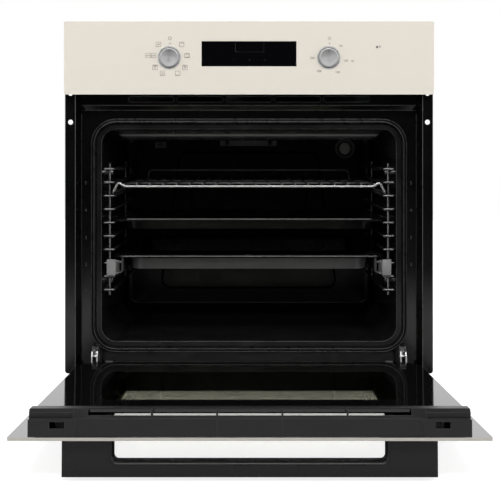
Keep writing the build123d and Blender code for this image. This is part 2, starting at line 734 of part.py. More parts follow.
ladder_rack_right = rack(1)
save("ladder_rack_right", ladder_rack_right)
save("ladder_rack_left", rack(-1))

with BuildPart() as rack_studs:
    top = RUNG_Z + RUNG_PITCH * (RUNG_N - 1)
    for z in (RUNG_Z + RUNG_D / 2 + STUD_R + 0.1, top - RUNG_D / 2 - STUD_R - 0.1):
        for y in STUD_Y:
            with Locations(Plane(origin=(CAVITY_W / 2, y, z), z_dir=(-1, 0, 0))):
                Cylinder(STUD_R, 9.0, align=(Align.CENTER, Align.CENTER, Align.MIN))
save("rack_studs", both_sides(rack_studs.part))

# Wire shelf
RAIL_Z = RUNG_Z + RUNG_PITCH * SHELF_LEVEL + RUNG_D / 2 + GAP + SHELF_RAIL_D / 2
BAR_Z = RAIL_Z + SHELF_RISE
WIRE_Z = BAR_Z + SHELF_RAIL_D / 2 + SHELF_WIRE_D / 2 - 0.3
HUMP_X = SHELF_RAIL_X - 9.0
HUMP_END_X = SHELF_RAIL_X - 19.5
CROSS_X = SHELF_RAIL_X - 8.5
STOP_X = SHELF_RAIL_X - 26.5
HUMP_RISE = 7.0
with BuildPart() as wire_shelf:
    for side in (-1, 1):
        with BuildSketch(front_plane(SHELF_Y[0] - SHELF_RAIL_D / 2)):
            with Locations((side * SHELF_RAIL_X, RAIL_Z)):
                RegularPolygon(SHELF_RAIL_D / 2, WIRE_SIDES, major_radius=False, rotation=180 / WIRE_SIDES)
        extrude(amount=-(SHELF_Y[1] - SHELF_Y[0] - 2))
    add(
        bent_wire(
            [
                (-SHELF_RAIL_X, SHELF_Y[0], RAIL_Z),
                (-HUMP_X, SHELF_Y[0], BAR_Z + HUMP_RISE),
                (-HUMP_END_X, SHELF_Y[0], BAR_Z),
                (HUMP_END_X, SHELF_Y[0], BAR_Z),
                (HUMP_X, SHELF_Y[0], BAR_Z + HUMP_RISE),
                (SHELF_RAIL_X, SHELF_Y[0], RAIL_Z),
            ],
            SHELF_RAIL_D,
            WIRE_SIDES,
        )
    )
    for y in (SHELF_Y[0] + 161, SHELF_Y[0] + 286):
        add(
            bent_wire(
                [
                    (-SHELF_RAIL_X, y, RAIL_Z),
                    (-CROSS_X, y, BAR_Z),
                    (CROSS_X, y, BAR_Z),
                    (SHELF_RAIL_X, y, RAIL_Z),
                ],
                SHELF_RAIL_D - 0.4,
                WIRE_SIDES,
            )
        )
    add(
        bent_wire(
            [
                (-SHELF_RAIL_X, SHELF_Y[1] - 6, RAIL_Z),
                (-STOP_X, SHELF_Y[1] - 6, BAR_Z),
                (-STOP_X + 1.5, SHELF_Y[1] - SHELF_RAIL_D / 2, BAR_Z + 19),
                (STOP_X - 1.5, SHELF_Y[1] - SHELF_RAIL_D / 2, BAR_Z + 19),
                (STOP_X, SHELF_Y[1] - 6, BAR_Z),
                (SHELF_RAIL_X, SHELF_Y[1] - 6, RAIL_Z),
            ],
            SHELF_RAIL_D - 0.4,
            WIRE_SIDES,
        )
    )
    with BuildSketch(front_plane(SHELF_Y[1] - 6)):
        with Locations((0, BAR_Z)):
            Rectangle(2 * STOP_X, 3.0)
    extrude(amount=3.0, both=True)
    with BuildSketch(front_plane(SHELF_Y[0] - 1.0)):
        with Locations((0, WIRE_Z)):
            with GridLocations(SHELF_PITCH, 0, SHELF_WIRES, 1):
                RegularPolygon(SHELF_WIRE_D / 2, WIRE_SIDES, major_radius=False, rotation=180 / WIRE_SIDES)
    extrude(amount=-(SHELF_Y[1] - SHELF_Y[0] - 3.0))
save("wire_shelf", wire_shelf.part)


def tray(width, depth, height, corner, thickness, rim_z, front_y, wall_inset, taper):
    """A pressed tray: flat rim, sloping walls and a flat bottom."""
    mid = (0, front_y + depth / 2)
    with BuildPart() as pressed:
        with BuildSketch(Plane.XY.offset(rim_z)):
            with Locations(mid):
                RectangleRounded(width, depth, corner)
        extrude(amount=thickness)
        with BuildSketch(Plane.XY.offset(rim_z)):
            with Locations(mid):
                RectangleRounded(width - 2 * wall_inset, depth - 2 * wall_inset, corner)
        extrude(amount=-height, taper=taper)
        with BuildSketch(Plane.XY.offset(rim_z + thickness)):
            with Locations(mid):
                RectangleRounded(
                    width - 2 * wall_inset - 2 * TRAY_T, depth - 2 * wall_inset - 2 * TRAY_T, corner - TRAY_T
                )
        extrude(amount=-thickness, mode=Mode.SUBTRACT)
        with BuildSketch(Plane.XY.offset(rim_z)):
            with Locations(mid):
                RectangleRounded(
                    width - 2 * wall_inset - 2 * TRAY_T, depth - 2 * wall_inset - 2 * TRAY_T, corner - TRAY_T
                )
        extrude(amount=-height + TRAY_T, taper=taper, mode=Mode.SUBTRACT)
    return pressed.part


TRAY_Z = RUNG_Z + RUNG_PITCH * TRAY_LEVEL + RUNG_D / 2 + GAP
save("baking_tray", tray(TRAY_W, TRAY_D, TRAY_H, 25.0, 2.4, TRAY_Z, SHELF_Y[0], 16.0, 25))
save("deep_pan", tray(TRAY_W - 2.0, TRAY_D, PAN_H, 25.0, 3.0, PAN_Z, SHELF_Y[0], 24.5, 10))

# Telescopic runners: rail on the rack, middle member, slide that carries the deep pan
RAIL_X = RUNG_X - RUNG_D / 2 - GAP
with BuildPart() as runner_rail:
    with BuildSketch(front_plane(RACK_Y[0] - 2.0)):
        with BuildLine():
            Polyline(
                (RAIL_X, RUNNER_Z[0]),
                (RAIL_X, RUNNER_Z[1]),
                (RAIL_X - 4.8, RUNNER_Z[1]),
                (RAIL_X - 4.8, RUNNER_Z[1] - 1.2),
                (RAIL_X - 1.2, RUNNER_Z[1] - 1.2),
                (RAIL_X - 1.2, RUNNER_Z[0] + 1.2),
                (RAIL_X - 4.8, RUNNER_Z[0] + 1.2),
                (RAIL_X - 4.8, RUNNER_Z[0]),
                close=True,
            )
        make_face()
    extrude(amount=-RUNNER_L)
    with Locations((RAIL_X + 6.6, RACK_Y[0] - RUNG_D / 2 - 2.2, (RUNNER_Z[0] + RUNNER_Z[1]) / 2)):
        Box(14.4, 3.4, RUNNER_Z[1] - RUNNER_Z[0] + 4)
    with Locations((RAIL_X - 0.6, RACK_Y[0] - 2.1, (RUNNER_Z[0] + RUNNER_Z[1]) / 2)):
        Box(1.2, 3.8, RUNNER_Z[1] - RUNNER_Z[0])
save("runner_rails", both_sides(runner_rail.part))

with BuildPart() as runner_middle:
    x = RAIL_X - 1.2 - GAP
    z0 = RUNNER_Z[0] + 1.2 + GAP
    z1 = RUNNER_Z[1] - 1.2 - GAP
    with BuildSketch(front_plane(RACK_Y[0])):
        with BuildLine():
            Polyline(
                (x, z0),
                (x, z1),
                (x - 8.2, z1),
                (x - 8.2, z1 - 1.2),
                (x - 1.2, z1 - 1.2),
                (x - 1.2, z0 + 1.2),
                (x - 8.2, z0 + 1.2),
                (x - 8.2, z0),
                close=True,
            )
        make_face()
    extrude(amount=-(RUNNER_L - 12))
save("runner_middles", both_sides(runner_middle.part))

with BuildPart() as runner_slide:
    x = RAIL_X - 2.4 - 2 * GAP
    z0 = RUNNER_Z[0] + 2.4 + 2 * GAP
    z1 = RUNNER_Z[1] - 2.4 - 2 * GAP
    with BuildSketch(front_plane(RACK_Y[0] - 1.0)):
        with Locations((x - 3.6, (z0 + z1) / 2)):
            Rectangle(7.2, z1 - z0)
        with Locations((x - 8.6, (z0 + z1) / 2 + 2.5)):
            Rectangle(2.8, z1 - z0 + 5.0)
        with Locations((x - 5.0, (z0 + z1) / 2)):
            Rectangle(3.0, z1 - z0 - 3.0, mode=Mode.SUBTRACT)
    extrude(amount=-(RUNNER_L - 12))
    for y in (RACK_Y[0] + 8.0, RACK_Y[0] + RUNNER_L - 26.0):
        with Locations((x - 8.6, y, (PAN_Z - GAP + z1) / 2)):
            Box(2.8, 14.0, PAN_Z - GAP - z1)
save("runner_slides", both_sides(runner_slide.part))

# Control panel: glass, carrier with knob wells, display, lamp dot
with BuildPart() as panel_glass:
    with BuildSketch(front_plane(FRONT_Y)):
        with Locations((0, (PANEL_Z + OVEN_H) / 2)):
            RectangleRounded(OVEN_W, PANEL_H, 3)
        with Locations((KNOB_X, KNOB_Z), (-KNOB_X, KNOB_Z)):
            Circle(WELL_R + 0.3, mode=Mode.SUBTRACT)
        with Locations((LED_X, LED_Z)):
            Circle(1.8, mode=Mode.SUBTRACT)
    extrude(amount=-GLASS)
save("panel_glass", panel_glass.part)

with BuildPart() as knob_ring:
    with BuildSketch(front_plane(FRONT_Y)):
        with Locations((KNOB_X, KNOB_Z)):
            Circle(RING_D / 2)
            Circle(WELL_R - 0.8, mode=Mode.SUBTRACT)
    extrude(amount=1.0)
    with BuildSketch(front_plane(FRONT_Y)):
        with Locations((KNOB_X, KNOB_Z)):
            Circle(WELL_R)
            Circle(WELL_R - 0.8, mode=Mode.SUBTRACT)
    extrude(amount=-16.0)
save("knob_rings", both_sides(knob_ring.part))

WELL_END = FRONT_Y + 43.0
CARRIER_Z = (PANEL_Z + OVEN_H) / 2
with BuildPart() as panel_carrier:
    with BuildSketch(front_plane(FRONT_Y + GLASS)):
        with Locations((0, CARRIER_Z)):
            RectangleRounded(CARRIER_W, PANEL_H - 6.0, 4)
    extrude(amount=-(FLANGE_Y - FRONT_Y - GLASS))
    with BuildSketch(front_plane(FRONT_Y + GLASS + 2.5)):
        with Locations((0, CARRIER_Z)):
            Rectangle(CARRIER_W - 5, PANEL_H - 11)
    extrude(amount=-20, mode=Mode.SUBTRACT)
    with BuildSketch(front_plane(FRONT_Y + GLASS)):
        with Locations((KNOB_X, KNOB_Z), (-KNOB_X, KNOB_Z)):
            Circle(WELL_R + 3.3)
    extrude(amount=-(WELL_END - FRONT_Y - GLASS))
    with BuildSketch(front_plane(FRONT_Y + GLASS)):
        with Locations((KNOB_X, KNOB_Z), (-KNOB_X, KNOB_Z)):
            Circle(WELL_R + 0.3)
    extrude(amount=-(WELL_END - FRONT_Y - GLASS - 2), mode=Mode.SUBTRACT)
    with BuildSketch(front_plane(FRONT_Y)):
        with Locations((KNOB_X, KNOB_Z), (-KNOB_X, KNOB_Z)):
            Circle(4.0)
        with Locations((0, WINDOW_Z)):
            Rectangle(WINDOW_W + 0.6, WINDOW_H + 0.6)
        with Locations((LED_X, LED_Z)):
            Circle(1.8)
    extrude(amount=-60, mode=Mode.SUBTRACT)
save("panel_carrier", panel_carrier.part)

with BuildPart() as display_module:
    with BuildSketch(front_plane(FRONT_Y + GLASS + GAP)):
        with Locations((0, WINDOW_Z)):
            Rectangle(WINDOW_W, WINDOW_H)
    extrude(amount=-24)
save("display_module", display_module.part)

with BuildPart() as indicator_lens:
    with BuildSketch(front_plane(FRONT_Y)):
        with Locations((LED_X, LED_Z)):
            Circle(1.6)
    extrude(amount=-12)
save("indicator_lens", indicator_lens.part)


def knob(x):
    """A round knob with a sleeve that slides on its spindle."""
    with BuildPart() as turned:
        with BuildSketch(front_plane(FRONT_Y - KNOB_PROUD)):
            with Locations((x, KNOB_Z)):
                Circle(KNOB_D / 2)
        extrude(amount=-KNOB_L)
        fillet(turned.faces().sort_by(Axis.Y)[0].edges(), 1.0)
        with BuildSketch(front_plane(FRONT_Y - KNOB_PROUD + KNOB_L)):
            with Locations((x, KNOB_Z)):
                Circle(SLIDER_D / 2)
        extrude(amount=-(WELL_END - 3.2 - (FRONT_Y - KNOB_PROUD + KNOB_L)))
        with BuildSketch(front_plane(FRONT_Y + 2.0)):
            with Locations((x, KNOB_Z)):
                Circle(SHAFT_D / 2 + RUN_GAP)
                with Locations((0, SHAFT_D / 2)):
                    Rectangle(SHAFT_D, 2 * SHAFT_FLAT - 2 * RUN_GAP, mode=Mode.SUBTRACT)
        extrude(amount=-60, mode=Mode.SUBTRACT)
        with BuildSketch(front_plane(FRONT_Y - KNOB_PROUD)):
            with Locations((x, KNOB_Z + KNOB_D / 2 - 4.0)):
                Circle(0.9)
        extrude(amount=-0.4, mode=Mode.SUBTRACT)
    return turned.part


save("function_knob", knob(-KNOB_X))
save("temperature_knob", knob(KNOB_X))


def spindle(x):
    """A D-shaped spindle that turns in its switch."""
    with BuildPart() as turned:
        with BuildSketch(front_plane(FRONT_Y + 4.0)):
            with Locations((x, KNOB_Z)):
                Circle(SHAFT_D / 2)
                with Locations((0, SHAFT_D / 2)):
                    Rectangle(SHAFT_D, 2 * SHAFT_FLAT, mode=Mode.SUBTRACT)
        extrude(amount=-(WELL_END - FRONT_Y - 3.0))
        with BuildSketch(front_plane(WELL_END + 1.0)):
            with Locations((x, KNOB_Z)):
                Circle(SHAFT_D / 2)
        extrude(amount=-14)
    return turned.part


save("function_shaft", spindle(-KNOB_X))
save("temperature_shaft", spindle(KNOB_X))


def switch(x, width, depth):
    """A switch body on the back of the knob well, with its bushing and terminals."""
    with BuildPart() as body:
        with BuildSketch(front_plane(WELL_END)):
            with Locations((x, KNOB_Z)):
                RectangleRounded(width, width, 5)
        extrude(amount=-depth)
        with BuildSketch(front_plane(WELL_END + depth)):
            with Locations((x, KNOB_Z)):
                with GridLocations(9, 22, 4, 2):
                    Rectangle(0.8, 6.3)
        extrude(amount=-9)
        with BuildSketch(front_plane(WELL_END)):
            with Locations((x, KNOB_Z)):
                Circle(SHAFT_D / 2 + RUN_GAP)
        extrude(amount=-18, mode=Mode.SUBTRACT)
    return body.part


save("function_switch", switch(-KNOB_X, SWITCH_W, 34.0))
save("thermostat", switch(KNOB_X, SWITCH_W - 4.0, 26.0))

# Cooling air: duct to the front slots, fan wheel and its motor
DUCT_Y = UPPER_Y + FRAME_T + GAP
DUCT_Z = (462.0, 482.0)
BLOWER_Y = 130.0
BLOWER_R = 78.0
with BuildPart() as cooling_duct:
    with BuildSketch(Plane.XY.offset(DUCT_Z[0])):
        with BuildLine():
            Polyline(
                (-208, DUCT_Y),
                (208, DUCT_Y),
                (208, DUCT_Y + 60),
                (60, BLOWER_Y - 50),
                (60, BLOWER_Y),
                (-60, BLOWER_Y),
                (-60, BLOWER_Y - 50),
                (-208, DUCT_Y + 60),
                close=True,
            )
        make_face()
        with Locations((0, BLOWER_Y)):
            Circle(BLOWER_R)
    extrude(amount=DUCT_Z[1] - DUCT_Z[0])
    with BuildSketch(Plane.XY.offset(DUCT_Z[0] + 1)):
        with BuildLine():
            Polyline(
                (-207, DUCT_Y - 1),
                (207, DUCT_Y - 1),
                (207, DUCT_Y + 59.5),
                (59, BLOWER_Y - 51),
                (59, BLOWER_Y),
                (-59, BLOWER_Y),
                (-59, BLOWER_Y - 51),
                (-207, DUCT_Y + 59.5),
                close=True,
            )
        make_face()
        with Locations((0, BLOWER_Y)):
            Circle(BLOWER_R - 1)
    extrude(amount=DUCT_Z[1] - DUCT_Z[0] - 2, mode=Mode.SUBTRACT)
    with BuildSketch(Plane.XY.offset(DUCT_Z[1] - 1)):
        with Locations((0, BLOWER_Y)):
            Circle(46)
            Rectangle(100, 14, rotation=45, mode=Mode.SUBTRACT)
            Rectangle(100, 14, rotation=-45, mode=Mode.SUBTRACT)
    extrude(amount=1, mode=Mode.SUBTRACT)
    with Locations((0, BLOWER_Y, DUCT_Z[1] - 0.5)):
        Cylinder(SHAFT_D / 2 + 1.0, 2, mode=Mode.SUBTRACT)
    with Locations((-150, DUCT_Y + 20, (451.5 + DUCT_Z[0]) / 2), (150, DUCT_Y + 20, (451.5 + DUCT_Z[0]) / 2)):
        Box(20, 20, DUCT_Z[0] - 451.5)
save("cooling_duct", cooling_duct.part)

with BuildPart() as cooling_motor:
    with Locations((0, BLOWER_Y, DUCT_Z[1])):
        Cylinder(26, 3, align=(Align.CENTER, Align.CENTER, Align.MIN))
        Cylinder(SHAFT_D / 2 + RUN_GAP, 40, align=(Align.CENTER, Align.CENTER, Align.MIN), mode=Mode.SUBTRACT)
    with Locations((0, BLOWER_Y, DUCT_Z[1] + 3)):
        Box(58, 58, 34, align=(Align.CENTER, Align.CENTER, Align.MIN))
        Cylinder(SHAFT_D / 2 + RUN_GAP, 26, align=(Align.CENTER, Align.CENTER, Align.MIN), mode=Mode.SUBTRACT)
save("cooling_motor", cooling_motor.part)

with BuildPart() as cooling_fan:
    with Locations((0, BLOWER_Y, DUCT_Z[0] + 3)):
        Cylinder(64, 1.2, align=(Align.CENTER, Align.CENTER, Align.MIN))
        Cylinder(SHAFT_D / 2, 40, align=(Align.CENTER, Align.CENTER, Align.MIN))
    with BuildSketch(Plane.XY.offset(DUCT_Z[0] + 4.2)):
        with Locations((0, BLOWER_Y)):
            with PolarLocations(52, 12):
                Rectangle(22, 1.4, rotation=35)
    extrude(amount=11)
save("cooling_fan", cooling_fan.part)

# Mains terminals at the back
with BuildPart() as terminal_block:
    with Locations((190, REAR_Y - 17.5, 60)):
        Box(59.4, 33.0, 39.4)
        with Locations((0, 16.5, 0)):
            Box(50, 12, 24, mode=Mode.SUBTRACT)
    with BuildSketch(front_plane(REAR_Y - 7)):
        with Locations((190, 60)):
            with GridLocations(14, 0, 3, 1):
                Circle(3.2)
    extrude(amount=-4)
save("terminal_block", terminal_block.part)

# Hinges: receivers in the frame, arms hooked into them, pins, and locks between the arm's cheeks
with BuildPart() as receiver:
    with Locations((ARM_X, FACE_Y + FRAME_T + 0.75, 58.8)):
        Box(22.0, 1.5, 30.4)
    with Locations((ARM_X, FACE_Y + FRAME_T + 19, 57.5)):
        Box(ARM_W + 5.0, 38.0, 33.0)
        Box(ARM_W + 1.0, 60.0, 31.4, mode=Mode.SUBTRACT)
    with Locations(Plane(origin=(ARM_X, FACE_Y + 22, 46.0), z_dir=(1, 0, 0))):
        Cylinder(3.0, ARM_W + 3.0)
save("hinge_receivers", both_sides(receiver.part))

# Each arm is one folded plate: two cheeks joined by a sloping web with two small holes
WEB_LOW = (FRONT_Y + 18.5, 62.0)
WEB_TOP = (FRONT_Y + 25.0, 68.5)
with BuildPart() as arm:
    for offset_x in (-ARM_W / 2, ARM_W / 2 - ARM_CHEEK):
        with BuildSketch(Plane.YZ.offset(ARM_X + offset_x)):
            with BuildLine():
                Polyline(
                    (PIVOT_Y - 7.5, PIVOT_Z + 4.5),
                    (FRONT_Y + 14, 55),
                    WEB_LOW,
                    WEB_TOP,
                    (FRONT_Y + 76, 68.5),
                    (FRONT_Y + 76, 52),
                    (FRONT_Y + 70.3, 47),
                    (FRONT_Y + 70.3, 42.5),
                    (FRONT_Y + 63.7, 42.5),
                    (FRONT_Y + 42, 42.5),
                    (FRONT_Y + 36, 40),
                    (PIVOT_Y + 7.0, PIVOT_Z - 5.5),
                    close=True,
                )
            make_face()
            with Locations((PIVOT_Y, PIVOT_Z)):
                Circle(9.0)
                Circle(PIN_D / 2 + 0.02, mode=Mode.SUBTRACT)
            with Locations((FACE_Y + 22, 46.0)):
                Circle(3.3, mode=Mode.SUBTRACT)
            with Locations((FACE_Y + 22, 42.7)):
                Rectangle(6.6, 6.6, mode=Mode.SUBTRACT)
            with Locations((LOCK_Y, LOCK_Z)):
                Circle(LOCK_PIN_D / 2 + RUN_GAP, mode=Mode.SUBTRACT)
        extrude(amount=ARM_CHEEK)
    with BuildSketch(Plane.YZ.offset(ARM_X - ARM_W / 2)):
        with BuildLine():
            Polyline(
                WEB_LOW,
                WEB_TOP,
                (WEB_TOP[0] + 3.0, WEB_TOP[1]),
                (WEB_LOW[0] + 1.5, WEB_LOW[1] - 1.5),
                close=True,
            )
        make_face()
    extrude(amount=ARM_W)
    with Locations(Plane(origin=(ARM_X, FRONT_Y + 21.0, 64.5), z_dir=(0, -1, 1))):
        with Locations((2.1, 0), (-2.1, 0)):
            Cylinder(1.0, 12, mode=Mode.SUBTRACT)
    with Locations((ARM_X, FRONT_Y + 68, 63)):
        Box(ARM_W, 12, 10)
save("hinge_arms", both_sides(arm.part))

with BuildPart() as pin:
    with Locations(Plane(origin=(ARM_X, PIVOT_Y, PIVOT_Z), z_dir=(1, 0, 0))):
        Cylinder(PIN_D / 2, 2 * (CHANNEL_IN / 2 + CHANNEL_T) + 1.2)
save("hinge_pins", both_sides(pin.part))


def lock(side):
    """The small lever between the arm's cheeks that holds the hinge when the door comes off."""
    inner = ARM_W / 2 - ARM_CHEEK - GAP
    hub = (LOCK_Y, LOCK_Z)
    with BuildPart() as flap:
        with BuildSketch(Plane.YZ.offset(side * ARM_X - inner)):
            with Locations(hub):
                Circle(LOCK_PIN_D)
                SlotCenterPoint((LOCK_L * cos(radians(60)) / 2, LOCK_L * sin(radians(60)) / 2),
                                (LOCK_L * cos(radians(60)), LOCK_L * sin(radians(60))), 3.0)
        extrude(amount=2 * inner)
        with Locations(Plane(origin=(side * ARM_X, *hub), z_dir=(1, 0, 0))):
            Cylinder(LOCK_PIN_D / 2, ARM_W - 0.4)
    return flap.part


save("hinge_lock_right", lock(1))
save("hinge_lock_left", lock(-1))

# Door: outer glass with holes for the handle screws
HANDLE_MID = (HANDLE_U[0] + HANDLE_U[1]) / 2
SCREW_X_DOOR = (HANDLE_W + GRIP_W) / 4
with BuildPart() as door_outer_glass:
    with BuildSketch(on_door(-GLASS)):
        with Locations((0, DOOR_L / 2)):
            RectangleRounded(OVEN_W, DOOR_L, 3)
        with Locations((SCREW_X_DOOR, HANDLE_MID), (-SCREW_X_DOOR, HANDLE_MID)):
            Circle(3.5, mode=Mode.SUBTRACT)
    extrude(amount=GLASS)
save("door_outer_glass", door_outer_glass.part)

with BuildPart() as door_middle_glass:
    with BuildSketch(on_door(MIDDLE_W - GLASS)):
        with Locations((0, (MIDDLE_GLASS_U[0] + MIDDLE_GLASS_U[1]) / 2)):
            Rectangle(2 * POST_X[0] - 0.6, MIDDLE_GLASS_U[1] - MIDDLE_GLASS_U[0])
    extrude(amount=GLASS)
save("door_middle_glass", door_middle_glass.part)

with BuildPart() as door_inner_glass:
    with BuildSketch(on_door(INNER_W - GLASS)):
        with BuildLine():
            half = INNER_GLASS_W / 2
            Polyline(
                (-half, INNER_GLASS_U[0]),
                (half, INNER_GLASS_U[0]),
                (half, INNER_GLASS_U[1] - CORNER_U),
                (half - CORNER_X, INNER_GLASS_U[1]),
                (-half + CORNER_X, INNER_GLASS_U[1]),
                (-half, INNER_GLASS_U[1] - CORNER_U),
                close=True,
            )
        make_face()
    extrude(amount=GLASS)
save("door_inner_glass", door_inner_glass.part)

POST_TOP = INNER_W - GLASS - GAP
with BuildPart() as door_post:
    with BuildSketch(on_door(GAP)):
        with Locations(((POST_X[0] + POST_X[1]) / 2, (POST_U[0] + POST_U[1]) / 2)):
            Rectangle(POST_X[1] - POST_X[0], POST_U[1] - POST_U[0])
    extrude(amount=POST_TOP - GAP)
    with BuildSketch(on_door(GAP)):
        with Locations(((POST_X[0] + POST_X[1]) / 2, (POST_U[0] + POST_U[1]) / 2)):
            Rectangle(POST_X[1] - POST_X[0] - 2 * POST_T, POST_U[1] - POST_U[0] + 2)
    extrude(amount=POST_TOP - GAP - POST_T, mode=Mode.SUBTRACT)
save("door_posts", both_sides(door_post.part))

RAIL_HALF = ARM_X - CHANNEL_IN / 2 - CHANNEL_T - GAP
with BuildPart() as door_bottom_rail:
    with BuildSketch(door_section(-RAIL_HALF)):
        with BuildLine():
            Polyline(
                (RAIL_U[0] - 9, POST_TOP),
                (RAIL_U[0] + 1, POST_TOP),
                (RAIL_U[1], 14.0),
                (RAIL_U[1], GAP),
                (RAIL_U[1] - 1.5, GAP),
                (RAIL_U[1] - 1.5, 12.9),
                (RAIL_U[0] + 1.5, POST_TOP - 1.9),
                (RAIL_U[0] + 1.5, GAP),
                (RAIL_U[0], GAP),
                (RAIL_U[0], POST_TOP - 1.5),
                (RAIL_U[0] - 9, POST_TOP - 1.5),
                close=True,
            )
        make_face()
    extrude(amount=2 * RAIL_HALF)
save("door_bottom_rail", door_bottom_rail.part)

TRIM_PROFILE = (
    (TRIM_U[0], 0.5),
    (TRIM_U[0], TRIM_FRONT),
    (TRIM_U[0] + TRIM_CHAMFER, TRIM_TOP),
    (TRIM_U[1], TRIM_TOP),
    (TRIM_U[1], INNER_W + GAP),
    (TRIM_U[0] + TRIM_CHAMFER + 0.8, INNER_W + GAP),
    (TRIM_U[0] + TRIM_T, TRIM_FRONT - 0.8),
    (TRIM_U[0] + TRIM_T, 0.5),
)
CLIP_PROFILE = (
    (TONGUE_U[0], 0.5),
    (TONGUE_U[0], CLIP_LEDGE[1]),
    CLIP_LEDGE,
    (CLIP_LEDGE[0], TRIM_FRONT + CLIP_LEDGE[0] - TRIM_U[0]),
    (TRIM_U[0] + TRIM_CHAMFER, TRIM_TOP),
    (TRIM_U[1], TRIM_TOP),
    (TRIM_U[1], INNER_W + GAP),
    (TRIM_U[0] + TRIM_CHAMFER + 0.8, INNER_W + GAP),
    (CLIP_LEDGE[0] + TRIM_T, CLIP_LEDGE[1] + 7.0),
    (CLIP_LEDGE[0] + TRIM_T, CLIP_LEDGE[1] - TRIM_T),
    (TRIM_U[0] + TRIM_T, CLIP_LEDGE[1] - TRIM_T),
    (TRIM_U[0] + TRIM_T, 0.5),
)
with BuildPart() as door_trim:
    with BuildSketch(door_section(-CLIP_X + GAP)):
        with BuildLine():
            Polyline(*TRIM_PROFILE, close=True)
        make_face()
    extrude(amount=2 * (CLIP_X - GAP))
    with BuildSketch(on_door(TRIM_FRONT)):
        with Locations((0, (VENT_U[0] + VENT_U[1]) / 2)):
            with GridLocations(VENT_PITCH, 0, 5, 1):
                Rectangle(VENT_W, VENT_U[1] - VENT_U[0])
    extrude(amount=TRIM_TOP - TRIM_FRONT + 1, mode=Mode.SUBTRACT)
    with BuildSketch(on_door(1.0)):
        with Locations((VENT_PITCH / 2, TRIM_U[0]), (-VENT_PITCH / 2, TRIM_U[0])):
            Rectangle(0.5, 0.8)
    extrude(amount=TRIM_FRONT, mode=Mode.SUBTRACT)
save("door_trim", door_trim.part)


def facing_user(u):
    """The plane across the open door at u that faces the user, with local X across and local Y outwards."""
    return Plane(origin=DOOR.from_local_coords((0, u, 0)), x_dir=(1, 0, 0), z_dir=DOOR.y_dir)


# The clips that free the trim: a finger recess over a ledge, a tongue over the trim and a latch window
with BuildPart() as trim_clip:
    with BuildSketch(door_section(CLIP_X)):
        with BuildLine():
            Polyline(*CLIP_PROFILE, close=True)
        make_face()
    extrude(amount=TRIM_W / 2 - CLIP_X)
    fillet(trim_clip.edges().filter_by(GeomType.LINE).group_by(Axis.X)[-1].sort_by(Axis.Z)[-1:], 1.0)
    with BuildSketch(facing_user(TONGUE_U[0])):
        with BuildLine():
            Polyline(
                (CLIP_X + 1, -0.5),
                (CLIP_X + 1, -CLIP_LEDGE[1]),
                (TONGUE_X[1], -CLIP_LEDGE[1]),
                (TONGUE_X[0], -0.5),
                close=True,
            )
        make_face()
    extrude(amount=TONGUE_U[1] - TONGUE_U[0])
    with BuildSketch(facing_user(TONGUE_U[0] - 1)):
        with Locations(((LATCH_X[0] + LATCH_X[1]) / 2, -(LATCH_W[0] + LATCH_W[1]) / 2)):
            Rectangle(LATCH_X[1] - LATCH_X[0], LATCH_W[1] - LATCH_W[0])
    extrude(amount=TRIM_U[0] + TRIM_T + 1, mode=Mode.SUBTRACT)
save("trim_clips", both_sides(trim_clip.part))

# Handle: two deep ends and a bar, with a rounded finger gap
with BuildPart() as door_handle:
    with BuildSketch(facing_user(HANDLE_U[0])):
        with BuildSketch(mode=Mode.PRIVATE) as finger_gap:
            with Locations((0, GLASS + GRIP_GAP / 2)):
                Rectangle(GRIP_W, GRIP_GAP)
            fillet(finger_gap.vertices().group_by(Axis.Y)[-1], GRIP_R)
        with Locations((0, GLASS + HANDLE_DEPTH / 2)):
            Rectangle(HANDLE_W, HANDLE_DEPTH)
        add(finger_gap.sketch, mode=Mode.SUBTRACT)
    extrude(amount=HANDLE_U[1] - HANDLE_U[0])
    near = door_handle.faces().sort_by(Axis((0, 0, 0), DOOR.y_dir))[0]
    fillet(
        [e for e in near.edges() if abs(e.center().X) < HANDLE_W / 2 - 2 and -DOOR.to_local_coords(e.center()).Z
         < GLASS + HANDLE_DEPTH - 2 and -DOOR.to_local_coords(e.center()).Z > GLASS + 1],
        GRIP_SOFT,
    )
    with BuildSketch(on_door(-GLASS)):
        with Locations((SCREW_X_DOOR, HANDLE_MID), (-SCREW_X_DOOR, HANDLE_MID)):
            Circle(2.6)
    extrude(amount=-20, mode=Mode.SUBTRACT)
save("door_handle", door_handle.part)

with BuildPart() as handle_screws:
    for x in (-SCREW_X_DOOR, SCREW_X_DOOR):
        with BuildSketch(on_door(0.2)):
            with Locations((x, HANDLE_MID)):
                Circle(5.0)
        extrude(amount=3.0)
        with BuildSketch(on_door(0.2)):
            with Locations((x, HANDLE_MID)):
                Circle(2.5)
        extrude(amount=-22.0)
save("handle_screws", handle_screws.part)

with BuildPart() as glass_clip:
    with BuildSketch(door_section(217.0)):
        with BuildLine():
            Polyline(
                (402.0, INNER_W + 0.2),
                (402.0, INNER_W + 1.0),
                (410.4, INNER_W + 1.0),
                (412.0, INNER_W - 0.6),
                (412.0, POST_TOP + 0.1),
                (409.4, POST_TOP + 0.1),
                (409.4, INNER_W + 0.2),
                close=True,
            )
        make_face()
    extrude(amount=11.0)
save("glass_clips", both_sides(glass_clip.part))

